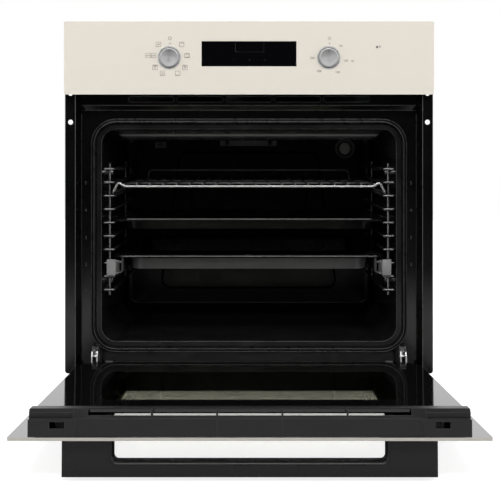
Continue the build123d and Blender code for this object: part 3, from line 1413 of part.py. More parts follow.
# Hinge channels in the door, with the spring and the rod that the arm pulls
CHANNEL_OUT = CHANNEL_IN + 2 * CHANNEL_T
ROD_W = 12.5
with BuildPart() as channel:
    with BuildSketch(on_door(CHANNEL_W[0])):
        with Locations((ARM_X, (CHANNEL_U[0] + CHANNEL_U[1]) / 2)):
            Rectangle(CHANNEL_OUT, CHANNEL_U[1] - CHANNEL_U[0])
    extrude(amount=CHANNEL_W[1] - CHANNEL_W[0])
    with BuildSketch(on_door(CHANNEL_W[0] + CHANNEL_T)):
        with Locations((ARM_X, (CHANNEL_U[0] + CHANNEL_U[1]) / 2)):
            Rectangle(CHANNEL_IN, CHANNEL_U[1] - CHANNEL_U[0] + 2)
    extrude(amount=CHANNEL_W[1], mode=Mode.SUBTRACT)
    with BuildSketch(on_door(CHANNEL_W[0])):
        with Locations((ARM_X, SPRING_U[1] + 1.2)):
            Rectangle(CHANNEL_IN, 2.0)
    extrude(amount=21)
    with BuildSketch(door_section(ARM_X - 20)):
        with Locations((PIVOT_U, PIVOT_W)):
            Circle(PIN_D / 2 + RUN_GAP)
    extrude(amount=40, mode=Mode.SUBTRACT)
    with BuildSketch(Plane(origin=DOOR.from_local_coords((ARM_X, 380, ROD_W)), x_dir=(1, 0, 0), z_dir=DOOR.y_dir)):
        Circle(ROD_D / 2 + 0.4)
    extrude(amount=40, mode=Mode.SUBTRACT)
save("hinge_channels", both_sides(channel.part))


def along_door(u):
    """The cross-section plane of the rod at u."""
    return Plane(origin=DOOR.from_local_coords((ARM_X, u, ROD_W)), x_dir=(1, 0, 0), z_dir=DOOR.y_dir)


with BuildPart() as rod:
    with BuildSketch(along_door(ROD_U[0])):
        Circle(ROD_D / 2)
    extrude(amount=ROD_U[1] - ROD_U[0])
    with BuildSketch(along_door(ROD_U[0] + 8)):
        Circle(ROD_HEAD_D / 2 + 1.5)
    extrude(amount=SPRING_U[0] - ROD_U[0] - 8 - GAP)
save("hinge_rods", both_sides(rod.part))

with BuildPart() as spring:
    with BuildSketch(along_door(SPRING_U[0])):
        Circle(SPRING_D / 2)
        Circle(ROD_D / 2 + 0.6, mode=Mode.SUBTRACT)
    extrude(amount=SPRING_U[1] - SPRING_U[0])
save("hinge_springs", both_sides(spring.part))
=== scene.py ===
import bmesh
import bpy
from math import cos, pi, radians, sin, sqrt
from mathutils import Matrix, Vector


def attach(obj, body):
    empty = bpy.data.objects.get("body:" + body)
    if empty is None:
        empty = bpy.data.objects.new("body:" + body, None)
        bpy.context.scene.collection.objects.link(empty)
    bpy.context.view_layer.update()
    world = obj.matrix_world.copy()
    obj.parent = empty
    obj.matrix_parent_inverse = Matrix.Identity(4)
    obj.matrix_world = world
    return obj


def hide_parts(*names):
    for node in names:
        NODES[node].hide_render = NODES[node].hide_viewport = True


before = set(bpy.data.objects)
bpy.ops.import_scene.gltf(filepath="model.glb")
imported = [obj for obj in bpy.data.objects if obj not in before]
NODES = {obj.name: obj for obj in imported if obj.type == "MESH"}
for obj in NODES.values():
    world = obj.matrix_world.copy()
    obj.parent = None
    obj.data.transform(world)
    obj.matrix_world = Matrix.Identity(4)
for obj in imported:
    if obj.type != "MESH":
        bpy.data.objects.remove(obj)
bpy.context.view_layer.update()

# The same planes as the model, in metres
FRONT_Y = -0.305
FACE_Y = FRONT_Y + 0.045
UPPER_Y = FRONT_Y + 0.040
DOOR_SWING = 87.33
LEAN = radians(90 - DOOR_SWING)
PIN_Y = FRONT_Y + 0.017
PIN_TO_TOP, PIN_TO_FACE = 0.442, 0.013
TOP_Y = PIN_Y - PIN_TO_TOP * cos(LEAN) - PIN_TO_FACE * sin(LEAN)

# The photograph's camera, in pixels of its 500 by 500, and how far it stands from two planes, in millimetres
IMAGE_PX, FOCAL_PX = 500, 1105
MIDDLE_PX_X, MIDDLE_PX_Y = 246.4, 144.5
EYE_X, EYE_Z = -0.0042, 0.3974
EYE_TO_FRONT = 1773.5
EYE_TO_FACE = EYE_TO_FRONT + 45


def door_y(u):
    """Where the open door lies along Y, at a distance from its top edge towards the hinge."""
    return TOP_Y + u * cos(LEAN)


def photo_xz(px, py, distance):
    """A point on a plane that faces the camera, from its place in the photograph."""
    scale = FOCAL_PX / distance
    return (px - MIDDLE_PX_X) / scale / 1000 + EYE_X, EYE_Z + (MIDDLE_PX_Y - py) / scale / 1000


# Shader nodes
def material(name):
    """A new material with its node tree and Principled shader."""
    mat = bpy.data.materials.new(name)
    mat.use_nodes = True
    return mat, mat.node_tree, mat.node_tree.nodes["Principled BSDF"]


def node(tree, kind, **values):
    """A shader node with its sockets and properties set."""
    made = tree.nodes.new(kind)
    for key, value in values.items():
        if key in made.inputs:
            made.inputs[key].default_value = value
        else:
            setattr(made, key, value)
    return made


def grey(value):
    """A colour with the same value in all three channels."""
    return (value,) * 3


def shaded(colour, factor):
    """A colour made darker or lighter by a factor."""
    return tuple(min(1.0, c * factor) for c in colour)


def ramp(tree, source, stops, interpolation="LINEAR"):
    """The colour of a ramp at a value."""
    made = tree.nodes.new("ShaderNodeValToRGB")
    made.color_ramp.interpolation = interpolation
    points = made.color_ramp.elements
    while len(points) < len(stops):
        points.new(0.5)
    for point, (place, colour) in zip(points, stops):
        point.position = place
        point.color = (*colour, 1)
    tree.links.new(source, made.inputs["Fac"])
    return made.outputs["Color"]


def calc(tree, operation, *values):
    """The result of a sum on sockets and plain numbers."""
    made = node(tree, "ShaderNodeMath", operation=operation)
    for socket, value in zip(made.inputs, values):
        if isinstance(value, (int, float)):
            socket.default_value = value
        else:
            tree.links.new(value, socket)
    return made.outputs[0]


def within(tree, value, low, high):
    """1 where the value lies between two limits."""
    above = calc(tree, "GREATER_THAN", value, low)
    below = calc(tree, "LESS_THAN", value, high)
    return calc(tree, "MULTIPLY", above, below)


# The Mix node's sockets for two colours and their result, and for two numbers
MIX_A, MIX_B, MIX_OUT = 6, 7, 2
MIX_LOW, MIX_HIGH = 2, 3


def blend(tree, factor, first, second):
    """Two colours mixed by a factor; each is a socket or (r, g, b)."""
    made = node(tree, "ShaderNodeMix", data_type="RGBA")
    tree.links.new(factor, made.inputs["Factor"])
    for index, value in ((MIX_A, first), (MIX_B, second)):
        if isinstance(value, tuple):
            made.inputs[index].default_value = (*value, 1)
        else:
            tree.links.new(value, made.inputs[index])
    return made.outputs[MIX_OUT]


def show_mix(tree, factor, first, second, output="Material Output"):
    """Two shaders mixed by a factor, as what a material or the world shows."""
    made = tree.nodes.new("ShaderNodeMixShader")
    tree.links.new(factor, made.inputs["Fac"])
    tree.links.new(first.outputs[0], made.inputs[1])
    tree.links.new(second.outputs[0], made.inputs[2])
    tree.links.new(made.outputs[0], tree.nodes[output].inputs["Surface"])


def axes(tree, output="Object"):
    """The X, Y and Z sockets of a texture coordinate."""
    source = tree.nodes.new("ShaderNodeTexCoord")
    made = tree.nodes.new("ShaderNodeSeparateXYZ")
    tree.links.new(source.outputs[output], made.inputs["Vector"])
    return made.outputs


def noise(tree, vector, scale, detail, rough=0.5):
    """A noise value on a vector."""
    made = node(tree, "ShaderNodeTexNoise", Scale=scale, Detail=detail, Roughness=rough)
    tree.links.new(vector, made.inputs["Vector"])
    return made.outputs["Fac"]


def bump(tree, shader, height, strength, distance, under=None):
    """Bump from a height value onto a shader, over the normal below it."""
    made = node(tree, "ShaderNodeBump", Strength=strength, Distance=distance)
    if under:
        tree.links.new(under, made.inputs["Normal"])
    tree.links.new(height, made.inputs["Height"])
    tree.links.new(made.outputs["Normal"], shader.inputs["Normal"])


# Materials
LOW_NOISE, HIGH_NOISE = 0.3, 0.7
GRAIN_DEPTH = 0.0004


def painted_edge_highlight(tree, soft, shade, edge_highlight):
    """A painted highlight: a paler colour where the softened normal leaves the face's own normal, over the
    base colour elsewhere.
    """
    flat = tree.nodes.new("ShaderNodeNewGeometry")
    turn = node(tree, "ShaderNodeVectorMath", operation="DOT_PRODUCT")
    tree.links.new(soft, turn.inputs[0])
    tree.links.new(flat.outputs["Normal"], turn.inputs[1])
    mask = ramp(tree, turn.outputs["Value"], [(0.90, grey(1)), (0.985, grey(0))])
    return blend(tree, mask, shade, edge_highlight)


def plain(name, colour, rough, metallic=0.0, vary=0.06, scale=40.0, grain=0.0, grain_scale=900.0,
          rough_vary=0.06, ior=1.5, edge=0.0, edge_highlight=None):
    """A finish with slight colour and gloss variation, a fine grain, soft edges and a painted highlight along
    them.
    """
    mat, tree, shader = material(name)
    shader.inputs["Metallic"].default_value = metallic
    shader.inputs["IOR"].default_value = ior
    vector = tree.nodes.new("ShaderNodeTexCoord").outputs["Object"]
    broad = noise(tree, vector, scale, 3.0)
    shade = ramp(tree, broad, [(LOW_NOISE, shaded(colour, 1 - vary)), (HIGH_NOISE, shaded(colour, 1 + vary))])
    under = None
    if edge:
        under = node(tree, "ShaderNodeBevel", Radius=edge, samples=8).outputs["Normal"]
        tree.links.new(under, shader.inputs["Normal"])
    # Painted highlight: a paler colour along the softened edges
    if edge_highlight:
        shade = painted_edge_highlight(tree, under, shade, edge_highlight)
    tree.links.new(shade, shader.inputs["Base Color"])
    glossy, dull = grey(max(rough - rough_vary, 0.02)), grey(rough + rough_vary)
    tree.links.new(ramp(tree, broad, [(LOW_NOISE, glossy), (HIGH_NOISE, dull)]), shader.inputs["Roughness"])
    if grain:
        bump(tree, shader, noise(tree, vector, grain_scale, 3.0, 0.6), grain, GRAIN_DEPTH, under)
    return mat


enamel_black = plain("enamel_black", (0.0022, 0.0022, 0.0023), 0.14, vary=0.2, scale=14, grain=0.04,
                     grain_scale=260, rough_vary=0.03, ior=1.42)
CAVITY_ENAMEL = dict(rough=0.16, vary=0.3, scale=25, grain=0.06, grain_scale=320, rough_vary=0.04)
enamel_cavity = plain("enamel_cavity", (0.009, 0.009, 0.0092), ior=1.3, **CAVITY_ENAMEL)
enamel_fold = plain("enamel_fold", grey(0.012), ior=1.42, **CAVITY_ENAMEL)
TRAY_ENAMEL = dict(rough=0.2, vary=0.3, scale=30, grain=0.06, grain_scale=350, rough_vary=0.05)
enamel_tray = plain("enamel_tray", (0.006, 0.006, 0.0063), ior=1.25, **TRAY_ENAMEL)
enamel_pan = plain("enamel_pan", (0.006, 0.006, 0.0063), ior=1.3, **TRAY_ENAMEL)

SMALL_EDGE = 0.0004
RUNNER = dict(rough=0.45, metallic=1.0, vary=0.12, scale=60, rough_vary=0.08, edge=SMALL_EDGE)
runner_steel = plain("runner_steel", grey(0.30), **RUNNER)
runner_dark = plain("runner_dark", grey(0.07), **RUNNER)
zinc = plain("zinc_steel", (0.52, 0.53, 0.54), 0.36, 1.0, vary=0.14, scale=60, grain=0.04, rough_vary=0.08)
casing_zinc = plain("casing_zinc", (0.42, 0.43, 0.44), 0.42, 1.0, vary=0.07, scale=70, grain=0.05,
                    rough_vary=0.04)
probe_steel = plain("probe_steel", grey(0.13), 0.5, 0.6, vary=0.2, scale=60, grain=0.06, edge=SMALL_EDGE)
# Near-black for the door's posts, bottom rail and hinge channels, and painted shade on the hinge receivers,
# which sit in shade behind the frame
black_steel_and_shade = plain("black_steel_and_shade", grey(0.008), 0.42, vary=0.2, scale=60, grain=0.06)
hinge_steel = plain("hinge_steel", grey(0.42), 0.3, 1.0, vary=0.1, scale=120, rough_vary=0.08,
                    edge=SMALL_EDGE)
element_steel = plain("element_steel", (0.05, 0.045, 0.04), 0.5, 0.7, vary=0.4, scale=60, grain=0.1)
chrome = plain("chrome_wire", grey(0.34), 0.32, 1.0, vary=0.05, scale=80, rough_vary=0.05)
# A darker copy of the chrome for the ladder racks deep in the cavity: painted shade
chrome_shaded = plain("chrome_shaded", grey(0.15), 0.36, 1.0, vary=0.08, scale=80, rough_vary=0.05)
chrome_ring = plain("chrome_ring", grey(0.60), 0.3, 0.5, vary=0.05, scale=80, rough_vary=0.05)

# The trim's edges carry a painted highlight in a paler grey
plastic_trim = plain("plastic_trim", (0.0115, 0.0115, 0.0122), 0.36, vary=0.05, scale=30, grain=0.1,
                     grain_scale=1500, ior=1.33, edge=0.0007, edge_highlight=(0.04, 0.04, 0.041))
plastic_handle = plain("plastic_handle", (0.0075, 0.0075, 0.0077), 0.3, vary=0.05, scale=20, grain=0.1,
                       grain_scale=1500, ior=1.3)
plastic_inner = plain("plastic_inner", grey(0.05), 0.55, vary=0.1, scale=30, grain=0.1)
rubber = plain("seal_rubber", grey(0.005), 0.3, vary=0.2, scale=80, grain=0.06, grain_scale=700, ior=1.2)
# A paler grey for the seal's crests: a painted highlight
seal_crest_highlight = plain("seal_crest_highlight", grey(0.034), 0.3, vary=0.15, scale=80, grain=0.06, grain_scale=700)
# Pale greys for thin lines along edges and rims: painted highlights
EDGE = dict(rough=0.3, vary=0.15, scale=60, rough_vary=0.05)
faint_edge_highlight = plain("faint_edge_highlight", grey(0.014), **EDGE)
bright_edge_highlight = plain("bright_edge_highlight", grey(0.06), **EDGE)
rim_highlight = plain("rim_highlight", grey(0.13), **EDGE)
wool = plain("mineral_wool", (0.62, 0.56, 0.34), 0.95, vary=0.25, scale=120, grain=0.9, grain_scale=500)

black_print = plain("display_black", (0.004, 0.004, 0.005), 0.05, vary=0.1, scale=20, rough_vary=0.01)
print_ink = plain("panel_print", (0.055, 0.043, 0.034), 0.5, vary=0.1, scale=200)
print_pale = plain("display_print", (0.012, 0.012, 0.013), 0.4, vary=0.1, scale=200)
frame_print = plain("frame_print", grey(0.045), 0.5, vary=0.1, scale=200)
led_dark = plain("led_dark", (0.02, 0.015, 0.014), 0.3, vary=0.1, scale=200)


def brushed(name, colour, rough):
    """Spun metal: fine turning rings round the knob's own Y axis."""
    mat, tree, shader = material(name)
    shader.inputs["Metallic"].default_value = 1.0
    shader.inputs["Roughness"].default_value = rough
    shader.inputs["Anisotropic"].default_value = 0.4
    tangent = node(tree, "ShaderNodeTangent", direction_type="RADIAL", axis="Y")
    tree.links.new(tangent.outputs["Tangent"], shader.inputs["Tangent"])
    place = axes(tree)
    flat = tree.nodes.new("ShaderNodeCombineXYZ")
    tree.links.new(place["X"], flat.inputs["X"])
    tree.links.new(place["Z"], flat.inputs["Y"])
    radius = node(tree, "ShaderNodeVectorMath", operation="LENGTH")
    tree.links.new(flat.outputs["Vector"], radius.inputs[0])
    rings = node(tree, "ShaderNodeTexNoise", noise_dimensions="1D", Scale=9000.0, Detail=2.0)
    tree.links.new(radius.outputs["Value"], rings.inputs["W"])
    bump(tree, shader, rings.outputs["Fac"], 0.25, 0.0002)
    shade = ramp(tree, rings.outputs["Fac"], [(LOW_NOISE, shaded(colour, 0.86)), (HIGH_NOISE, colour)])
    tree.links.new(shade, shader.inputs["Base Color"])
    return mat


knob_metal = brushed("knob_metal", grey(0.43), 0.5)


def painted_reflection_band(mat, y_limit, z_low, z_high, pale):
    """A painted reflection: a paler colour within a height range, on faces towards the user, standing in for
    the bright floor that they mirror.
    """
    tree = mat.node_tree
    base = tree.nodes["Principled BSDF"].inputs["Base Color"]
    place, facing = axes(tree), axes(tree, "Normal")
    near, high = within(tree, place["Y"], -1.0, y_limit), within(tree, place["Z"], z_low, z_high)
    band = calc(tree, "MULTIPLY", near, high)
    band = calc(tree, "MULTIPLY", band, within(tree, facing["Y"], -1.1, -0.3))
    tree.links.new(blend(tree, band, base.links[0].from_socket, pale), base)


# Painted reflection of the bright floor on the pan's front wall, and a painted highlight line on the ceiling
# fold
painted_reflection_band(enamel_pan, -0.215, 0.180, 0.2072, (0.10, 0.10, 0.101))
painted_reflection_band(enamel_fold, -0.2, 0.4112, 0.4146, grey(0.10))


def clear_glass(name, colour, rough=0.0):
    """A clear glass shader in its own material."""
    mat, _, shader = material(name)
    shader.inputs["Base Color"].default_value = (*colour, 1)
    shader.inputs["Roughness"].default_value = rough
    shader.inputs["IOR"].default_value = 1.36
    shader.inputs["Transmission Weight"].default_value = 1.0
    return mat


PRINT_IOR = 1.5
# A ramp holds values up to 1, so an IOR goes through it as a part of this
IOR_SCALE = 3.0


def printed_glass(name, half_x, y_limits, tint, front, edge, back, back_ior):
    """Glass that is clear inside a rectangle and printed elsewhere, with its own colour on each face."""
    mat = clear_glass(name, tint)
    tree = mat.node_tree
    printed = node(tree, "ShaderNodeBsdfPrincipled", Roughness=0.06)
    place, facing = axes(tree), axes(tree, "Normal")
    across = within(tree, place["X"], -half_x, half_x)
    window = calc(tree, "MULTIPLY", across, within(tree, place["Y"], *y_limits))
    side = calc(tree, "MULTIPLY_ADD", facing["Z"], 0.5, 0.5)
    shade = ramp(tree, side, [(0.0, front), (0.15, edge), (0.85, back)], "CONSTANT")
    tree.links.new(shade, printed.inputs["Base Color"])
    iors = [(0.0, grey(PRINT_IOR / IOR_SCALE)), (0.85, grey(back_ior / IOR_SCALE))]
    gloss = ramp(tree, side, iors, "CONSTANT")
    tree.links.new(calc(tree, "MULTIPLY", gloss, IOR_SCALE), printed.inputs["IOR"])
    show_mix(tree, window, printed, tree.nodes["Principled BSDF"])
    return mat


CREAM = (0.712, 0.669, 0.598)
CREAM_EDGE = (0.375, 0.355, 0.325)
INK = grey(0.003)
outer_glass = printed_glass("outer_glass", 0.1825, (door_y(0.131), door_y(0.2906)), (1.0, 1.0, 0.95), CREAM,
                            CREAM_EDGE, grey(0.02), 2.8)
inner_glass = printed_glass("inner_glass", 0.200, (door_y(0.081), door_y(0.372)), (1.0, 0.99, 0.86), INK, INK,
                            INK, PRINT_IOR)
middle_glass = clear_glass("middle_glass", (0.98, 0.98, 0.93))
lens_glass = clear_glass("lens_glass", (0.85, 0.85, 0.82), 0.15)

DISPLAY_HALF_X, DISPLAY_Z0, DISPLAY_Z1 = 0.0762, 0.5228, 0.5632


def panel_material():
    """Cream printed glass: a gloss face over cream, with a black display window."""
    mat, tree, shader = material("panel_glass")
    shader.inputs["Roughness"].default_value = 0.07
    shader.inputs["IOR"].default_value = 1.5
    shader.inputs["Coat Weight"].default_value = 0.3
    place = axes(tree)
    across = within(tree, place["X"], -DISPLAY_HALF_X, DISPLAY_HALF_X)
    window = calc(tree, "MULTIPLY", across, within(tree, place["Z"], DISPLAY_Z0, DISPLAY_Z1))
    faint = noise(tree, tree.nodes.new("ShaderNodeTexCoord").outputs["Object"], 3.0, 2.0)
    cream = ramp(tree, faint, [(0.2, shaded(CREAM, 0.985)), (0.8, CREAM)])
    tree.links.new(blend(tree, window, cream, (0.001, 0.001, 0.0015)), shader.inputs["Base Color"])
    return mat


panel_cream = panel_material()

FINISH = {
    casing_zinc: "base_plate casing_shell back_panel",
    zinc: """convection_motor cooling_duct hinge_rods hinge_springs handle_screws function_shaft
        temperature_shaft cooling_motor""",
    runner_steel: "runner_rails runner_middles",
    runner_dark: "runner_slides",
    probe_steel: "grill_bracket temperature_probe glass_clips lamp_housing",
    black_steel_and_shade: "door_posts door_bottom_rail hinge_channels hinge_receivers",
    hinge_steel: "hinge_arms hinge_pins hinge_lock_left hinge_lock_right",
    enamel_black: "front_frame",
    enamel_cavity: "cavity_liner fan_cover",
    enamel_tray: "baking_tray",
    enamel_pan: "deep_pan",
    chrome: "ladder_rack_left ladder_rack_right wire_shelf rack_studs",
    chrome_ring: "knob_rings",
    knob_metal: "function_knob temperature_knob convection_fan",
    element_steel: "grill_element bottom_element ring_element",
    plastic_trim: "door_trim trim_clips",
    plastic_handle: "door_handle",
    plastic_inner: "panel_carrier cooling_fan function_switch thermostat terminal_block",
    black_print: "display_module",
    rubber: "door_seal",
    wool: "insulation",
    lens_glass: "lamp_lens",
    led_dark: "indicator_lens",
    outer_glass: "door_outer_glass",
    middle_glass: "door_middle_glass",
    inner_glass: "door_inner_glass",
    panel_cream: "panel_glass",
}
for mat, names in FINISH.items():
    for name in names.split():
        slots = NODES[name].data.materials
        slots.clear()
        slots.append(mat)


def soften(names, width, segments=2):
    """Rounded edges on CAD nodes."""
    for name in names.split():
        made = NODES[name].modifiers.new("edges", "BEVEL")
        made.width = width
        made.segments = segments
        made.limit_method = "ANGLE"
        made.angle_limit = radians(40)
        made.harden_normals = False


soften("panel_glass door_outer_glass door_inner_glass", 0.0005)
soften("door_handle", 0.003, 4)
soften("door_trim trim_clips", 0.0008)
soften("baking_tray deep_pan", 0.0007)
soften("front_frame", 0.0006)
soften("hinge_arms hinge_lock_left hinge_lock_right", 0.0003)


# Pieces
def put(name, data, body, mat, replaced=None, place=(0, 0, 0), turn=(0, 0, 0)):
    """A piece on its body, with its finish and slot, and the CAD node that it replaces."""
    data.materials.append(mat)
    piece = bpy.data.objects.new(name, data)
    piece.location = place
    piece.rotation_euler = turn
    bpy.context.scene.collection.objects.link(piece)
    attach(piece, body)
    if replaced:
        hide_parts(replaced)
    return piece


def tubes(name, lines, depth, resolution):
    """Curves with a round section: lines are (points, radius as a part of the depth)."""
    data = bpy.data.curves.new(name, "CURVE")
    data.dimensions = "3D"
    data.bevel_depth = depth
    data.bevel_resolution = resolution
    for points, radius in lines:
        spline = data.splines.new("POLY")
        spline.points.add(len(points) - 1)
        for point, place in zip(spline.points, points):
            point.co = (*place, 1)
            point.radius = radius
    return data


def smooth_mesh(name, made):
    """Mesh data from a bmesh, smooth and with its normals outwards."""
    data = bpy.data.meshes.new(name)
    bmesh.ops.recalc_face_normals(made, faces=made.faces)
    made.to_mesh(data)
    made.free()
    for face in data.polygons:
        face.use_smooth = True
    return data


# Wires with round bends
BEND_STEPS = 6
UNIT_R = 0.001


def rounded(points, radius):
    """The points of a path whose corners are rounded."""
    path = [Vector(p) for p in points]
    out = [path[0]]
    for before, corner, after in zip(path, path[1:], path[2:]):
        to_back, to_next = (before - corner), (after - corner)
        cut = min(radius, to_back.length * 0.49, to_next.length * 0.49)
        start = corner + to_back.normalized() * cut
        end = corner + to_next.normalized() * cut
        for i in range(BEND_STEPS + 1):
            t = i / BEND_STEPS
            out.append(start * (1 - t) ** 2 + corner * 2 * t * (1 - t) + end * t * t)
    out.append(path[-1])
    return out


def wires(name, runs, body, mat, replaced=None):
    """Bent wires as one piece: runs are (points, wire radius, bend radius)."""
    data = tubes(name, [(rounded(points, bend), thick / UNIT_R) for points, thick, bend in runs], UNIT_R, 3)
    data.use_fill_caps = True
    return put(name, data, body, mat, replaced)


def mirrored(points):
    """A whole path from its left half."""
    return points + [(-x, y, z) for x, y, z in reversed(points)]


SIDES = ((-1, "left"), (1, "right"))
RUNG_R, POST_R, BRACE_R = 0.00225, 0.0021, 0.002
RUNG_Z = [0.1575 + 0.02216 * i for i in range(10)]
RUNG_X, OUT_X, POST_X = 0.223, 0.24025, 0.2306
RACK_Y0, RACK_Y1 = FRONT_Y + 0.052, FRONT_Y + 0.398
POST_Y, BRACE_Y = (RACK_Y0 + 0.0045, RACK_Y0 + 0.243), RACK_Y0 + 0.157
POST_Z0, POST_Z1 = RUNG_Z[0] - 0.009, RUNG_Z[-1] + 0.009
STRAIGHT = 0.0
for side, word in SIDES:
    inner, outer, post = side * RUNG_X, side * OUT_X, side * POST_X
    runs = [([(inner, RACK_Y1, z), (inner, RACK_Y0, z), (outer, RACK_Y0, z), (outer, RACK_Y1, z),
              (inner, RACK_Y1, z)], RUNG_R, 0.003) for z in RUNG_Z]
    runs += [([(post, y, POST_Z0), (post, y, POST_Z1)], POST_R, STRAIGHT) for y in POST_Y]
    runs += [([(inner, BRACE_Y, z), (outer, BRACE_Y, z)], BRACE_R, STRAIGHT) for z in (RUNG_Z[7], RUNG_Z[5])]
    wires("rack_wires_" + word, runs, "oven", chrome_shaded, "ladder_rack_" + word)

SHELF_R, WIRE_R, SHELF_AIR = 0.0025, 0.0015, 0.0003
SHELF_X, SHELF_Y0, SHELF_Y1 = 0.2245, FRONT_Y + 0.050, FRONT_Y + 0.409
RAIL_Z = RUNG_Z[7] + RUNG_R + SHELF_AIR + SHELF_R
BAR_Z = RAIL_Z + 0.0105
WIRE_Z = BAR_Z + SHELF_R + WIRE_R - 0.0003
WIRES, WIRE_STEP = 20, 0.02175
shelf_runs = [(mirrored([
    (-SHELF_X, SHELF_Y1 - 0.004, RAIL_Z),
    (-SHELF_X, SHELF_Y0, RAIL_Z),
    (-0.2155, SHELF_Y0, BAR_Z + 0.007),
    (-0.2050, SHELF_Y0, BAR_Z),
]), SHELF_R, 0.005)]
for y in (SHELF_Y0 + 0.161, SHELF_Y0 + 0.286):
    shelf_runs.append((mirrored([(-SHELF_X, y, RAIL_Z), (-0.216, y, BAR_Z)]), SHELF_R, 0.004))
shelf_runs.append((mirrored([
    (-SHELF_X, SHELF_Y1 - 0.006, RAIL_Z),
    (-0.1980, SHELF_Y1 - 0.006, BAR_Z),
    (-0.1965, SHELF_Y1 - 0.0025, BAR_Z + 0.019),
]), SHELF_R, 0.008))
for i in range(WIRES):
    x = (i - (WIRES - 1) / 2) * WIRE_STEP
    shelf_runs.append(([(x, SHELF_Y0 - 0.001, WIRE_Z), (x, SHELF_Y1 - 0.004, WIRE_Z)], WIRE_R, STRAIGHT))
wires("shelf_wires", shelf_runs, "wire_shelf", chrome, "wire_shelf")

# The door seal: three soft ridges all round the mouth, with a painted highlight in a paler grey on two of the
# crests
MOUTH_HALF_X, MOUTH_HALF_Z, MOUTH_MID_Z, MOUTH_R = 0.2428, 0.17485, 0.24835, 0.025
CORNER_STEPS = 12


def mouth_ring(out):
    """The cavity's mouth outline in (x, z), moved outwards."""
    ring = []
    for quarter, (sx, sz) in enumerate(((1, 1), (-1, 1), (-1, -1), (1, -1))):
        for i in range(CORNER_STEPS + 1):
            a = radians(90 * quarter + 90 * i / CORNER_STEPS)
            x = sx * (MOUTH_HALF_X - MOUTH_R) + (MOUTH_R + out) * cos(a)
            ring.append((x, MOUTH_MID_Z + sz * (MOUTH_HALF_Z - MOUTH_R) + (MOUTH_R + out) * sin(a)))
    return ring


# Each ridge: its distance from the mouth, half its width and its height
RIDGES = ((0.0090, 0.0008, 0.0040), (0.0113, 0.0014, 0.0078), (0.0158, 0.0010, 0.0056))
RIDGE_ROUND, RIDGE_STEPS = 0.0020, 8
SEAL_START, SEAL_END = (0.0081, 0.0), (0.0167, 0.0)
HIGHLIGHT_CREST_FACES = (13, 14, 22, 23)


def seal_profile():
    """The seal's section: distance outwards from the mouth, and height towards the user."""
    points = [SEAL_START]
    for centre, half, high in RIDGES:
        for i in range(RIDGE_STEPS + 1):
            a = pi * i / RIDGE_STEPS
            points.append((centre - half * cos(a), high - RIDGE_ROUND + RIDGE_ROUND * sin(a)))
    return points + [SEAL_END]


made = bmesh.new()
rows = []
for out, high in seal_profile():
    rows.append([made.verts.new((x, FACE_Y - high, z)) for x, z in mouth_ring(out)])
for k, (a, b) in enumerate(zip(rows, rows[1:])):
    for i in range(len(a)):
        j = (i + 1) % len(a)
        face = made.faces.new((a[i], a[j], b[j], b[i]))
        face.material_index = 1 if k in HIGHLIGHT_CREST_FACES else 0
seal = put("seal_ridges", smooth_mesh("seal_ridges", made), "oven", rubber, "door_seal")
seal.data.materials.append(seal_crest_highlight)

# Thin rolled edges in pale grey, painted highlights that stand in for the light the edges catch: round the
# mouth and the slots, along the slope, the recess and the rims
mouth = [(x, FACE_Y - 0.0002, z) for x, z in mouth_ring(0.0002)]
wires("mouth_edge", [(mouth + mouth[:1], 0.0006, STRAIGHT)], "oven", bright_edge_highlight)

SLOPE_TOP, SLOPE_LOW, SIDE_X = 0.4617, 0.4540, 0.2753
SIDE_TOP = SLOPE_LOW - 0.007
COLUMN_Y, COLUMN_Z0, COLUMN_Z1 = FRONT_Y + 0.0158, 0.032, 0.484
slopes = [
    (mirrored([(-0.2740, UPPER_Y - 0.0003, SLOPE_TOP)]), 0.0006, STRAIGHT),
    (mirrored([(-SIDE_X, FACE_Y - 0.0004, SIDE_TOP), (-SIDE_X, FACE_Y - 0.0006, SLOPE_LOW)]), 0.0005, 0.005),
]
for x in (-0.2974, -0.2812, 0.2812, 0.2974):
    slopes.append(([(x, COLUMN_Y, COLUMN_Z0), (x, COLUMN_Y, COLUMN_Z1)], 0.0005, STRAIGHT))
wires("slope_edges", slopes, "oven", bright_edge_highlight)
faint = [([(x, FACE_Y - 0.0004, 0.045), (x, FACE_Y - 0.0004, SIDE_TOP)], 0.0005, STRAIGHT)
         for x in (-SIDE_X, SIDE_X)]
wires("frame_edges", faint, "oven", faint_edge_highlight)

SLOTS, SLOT_STEP, SLOT_HALF, SLOT_R, SLOT_Z = 5, 0.0802, 0.03775, 0.0048, 0.4718
HALF_TURN = 13
slots = []
for i in range(SLOTS):
    middle = (i - (SLOTS - 1) // 2) * SLOT_STEP
    outline = []
    for k in range(2 * HALF_TURN):
        a = pi / 2 + pi * (k % HALF_TURN) / (HALF_TURN - 1) + pi * (k // HALF_TURN)
        end = middle + (-1 if k < HALF_TURN else 1) * (SLOT_HALF - SLOT_R)
        outline.append((end + SLOT_R * cos(a), UPPER_Y - 0.0002, SLOT_Z + SLOT_R * sin(a)))
    slots.append((outline + outline[:1], 0.0003, STRAIGHT))
wires("slot_edges", slots, "oven", bright_edge_highlight)

RIM_Y = -0.2551
# Painted highlight lines along the rims of the tray and the pan
for body, half, rim_z in (("baking_tray", 0.2010, 0.2743), ("deep_pan", 0.2105, 0.2130)):
    wires(body + "_rim", [(mirrored([(-half, RIM_Y, rim_z)]), 0.0008, STRAIGHT)], body, rim_highlight)

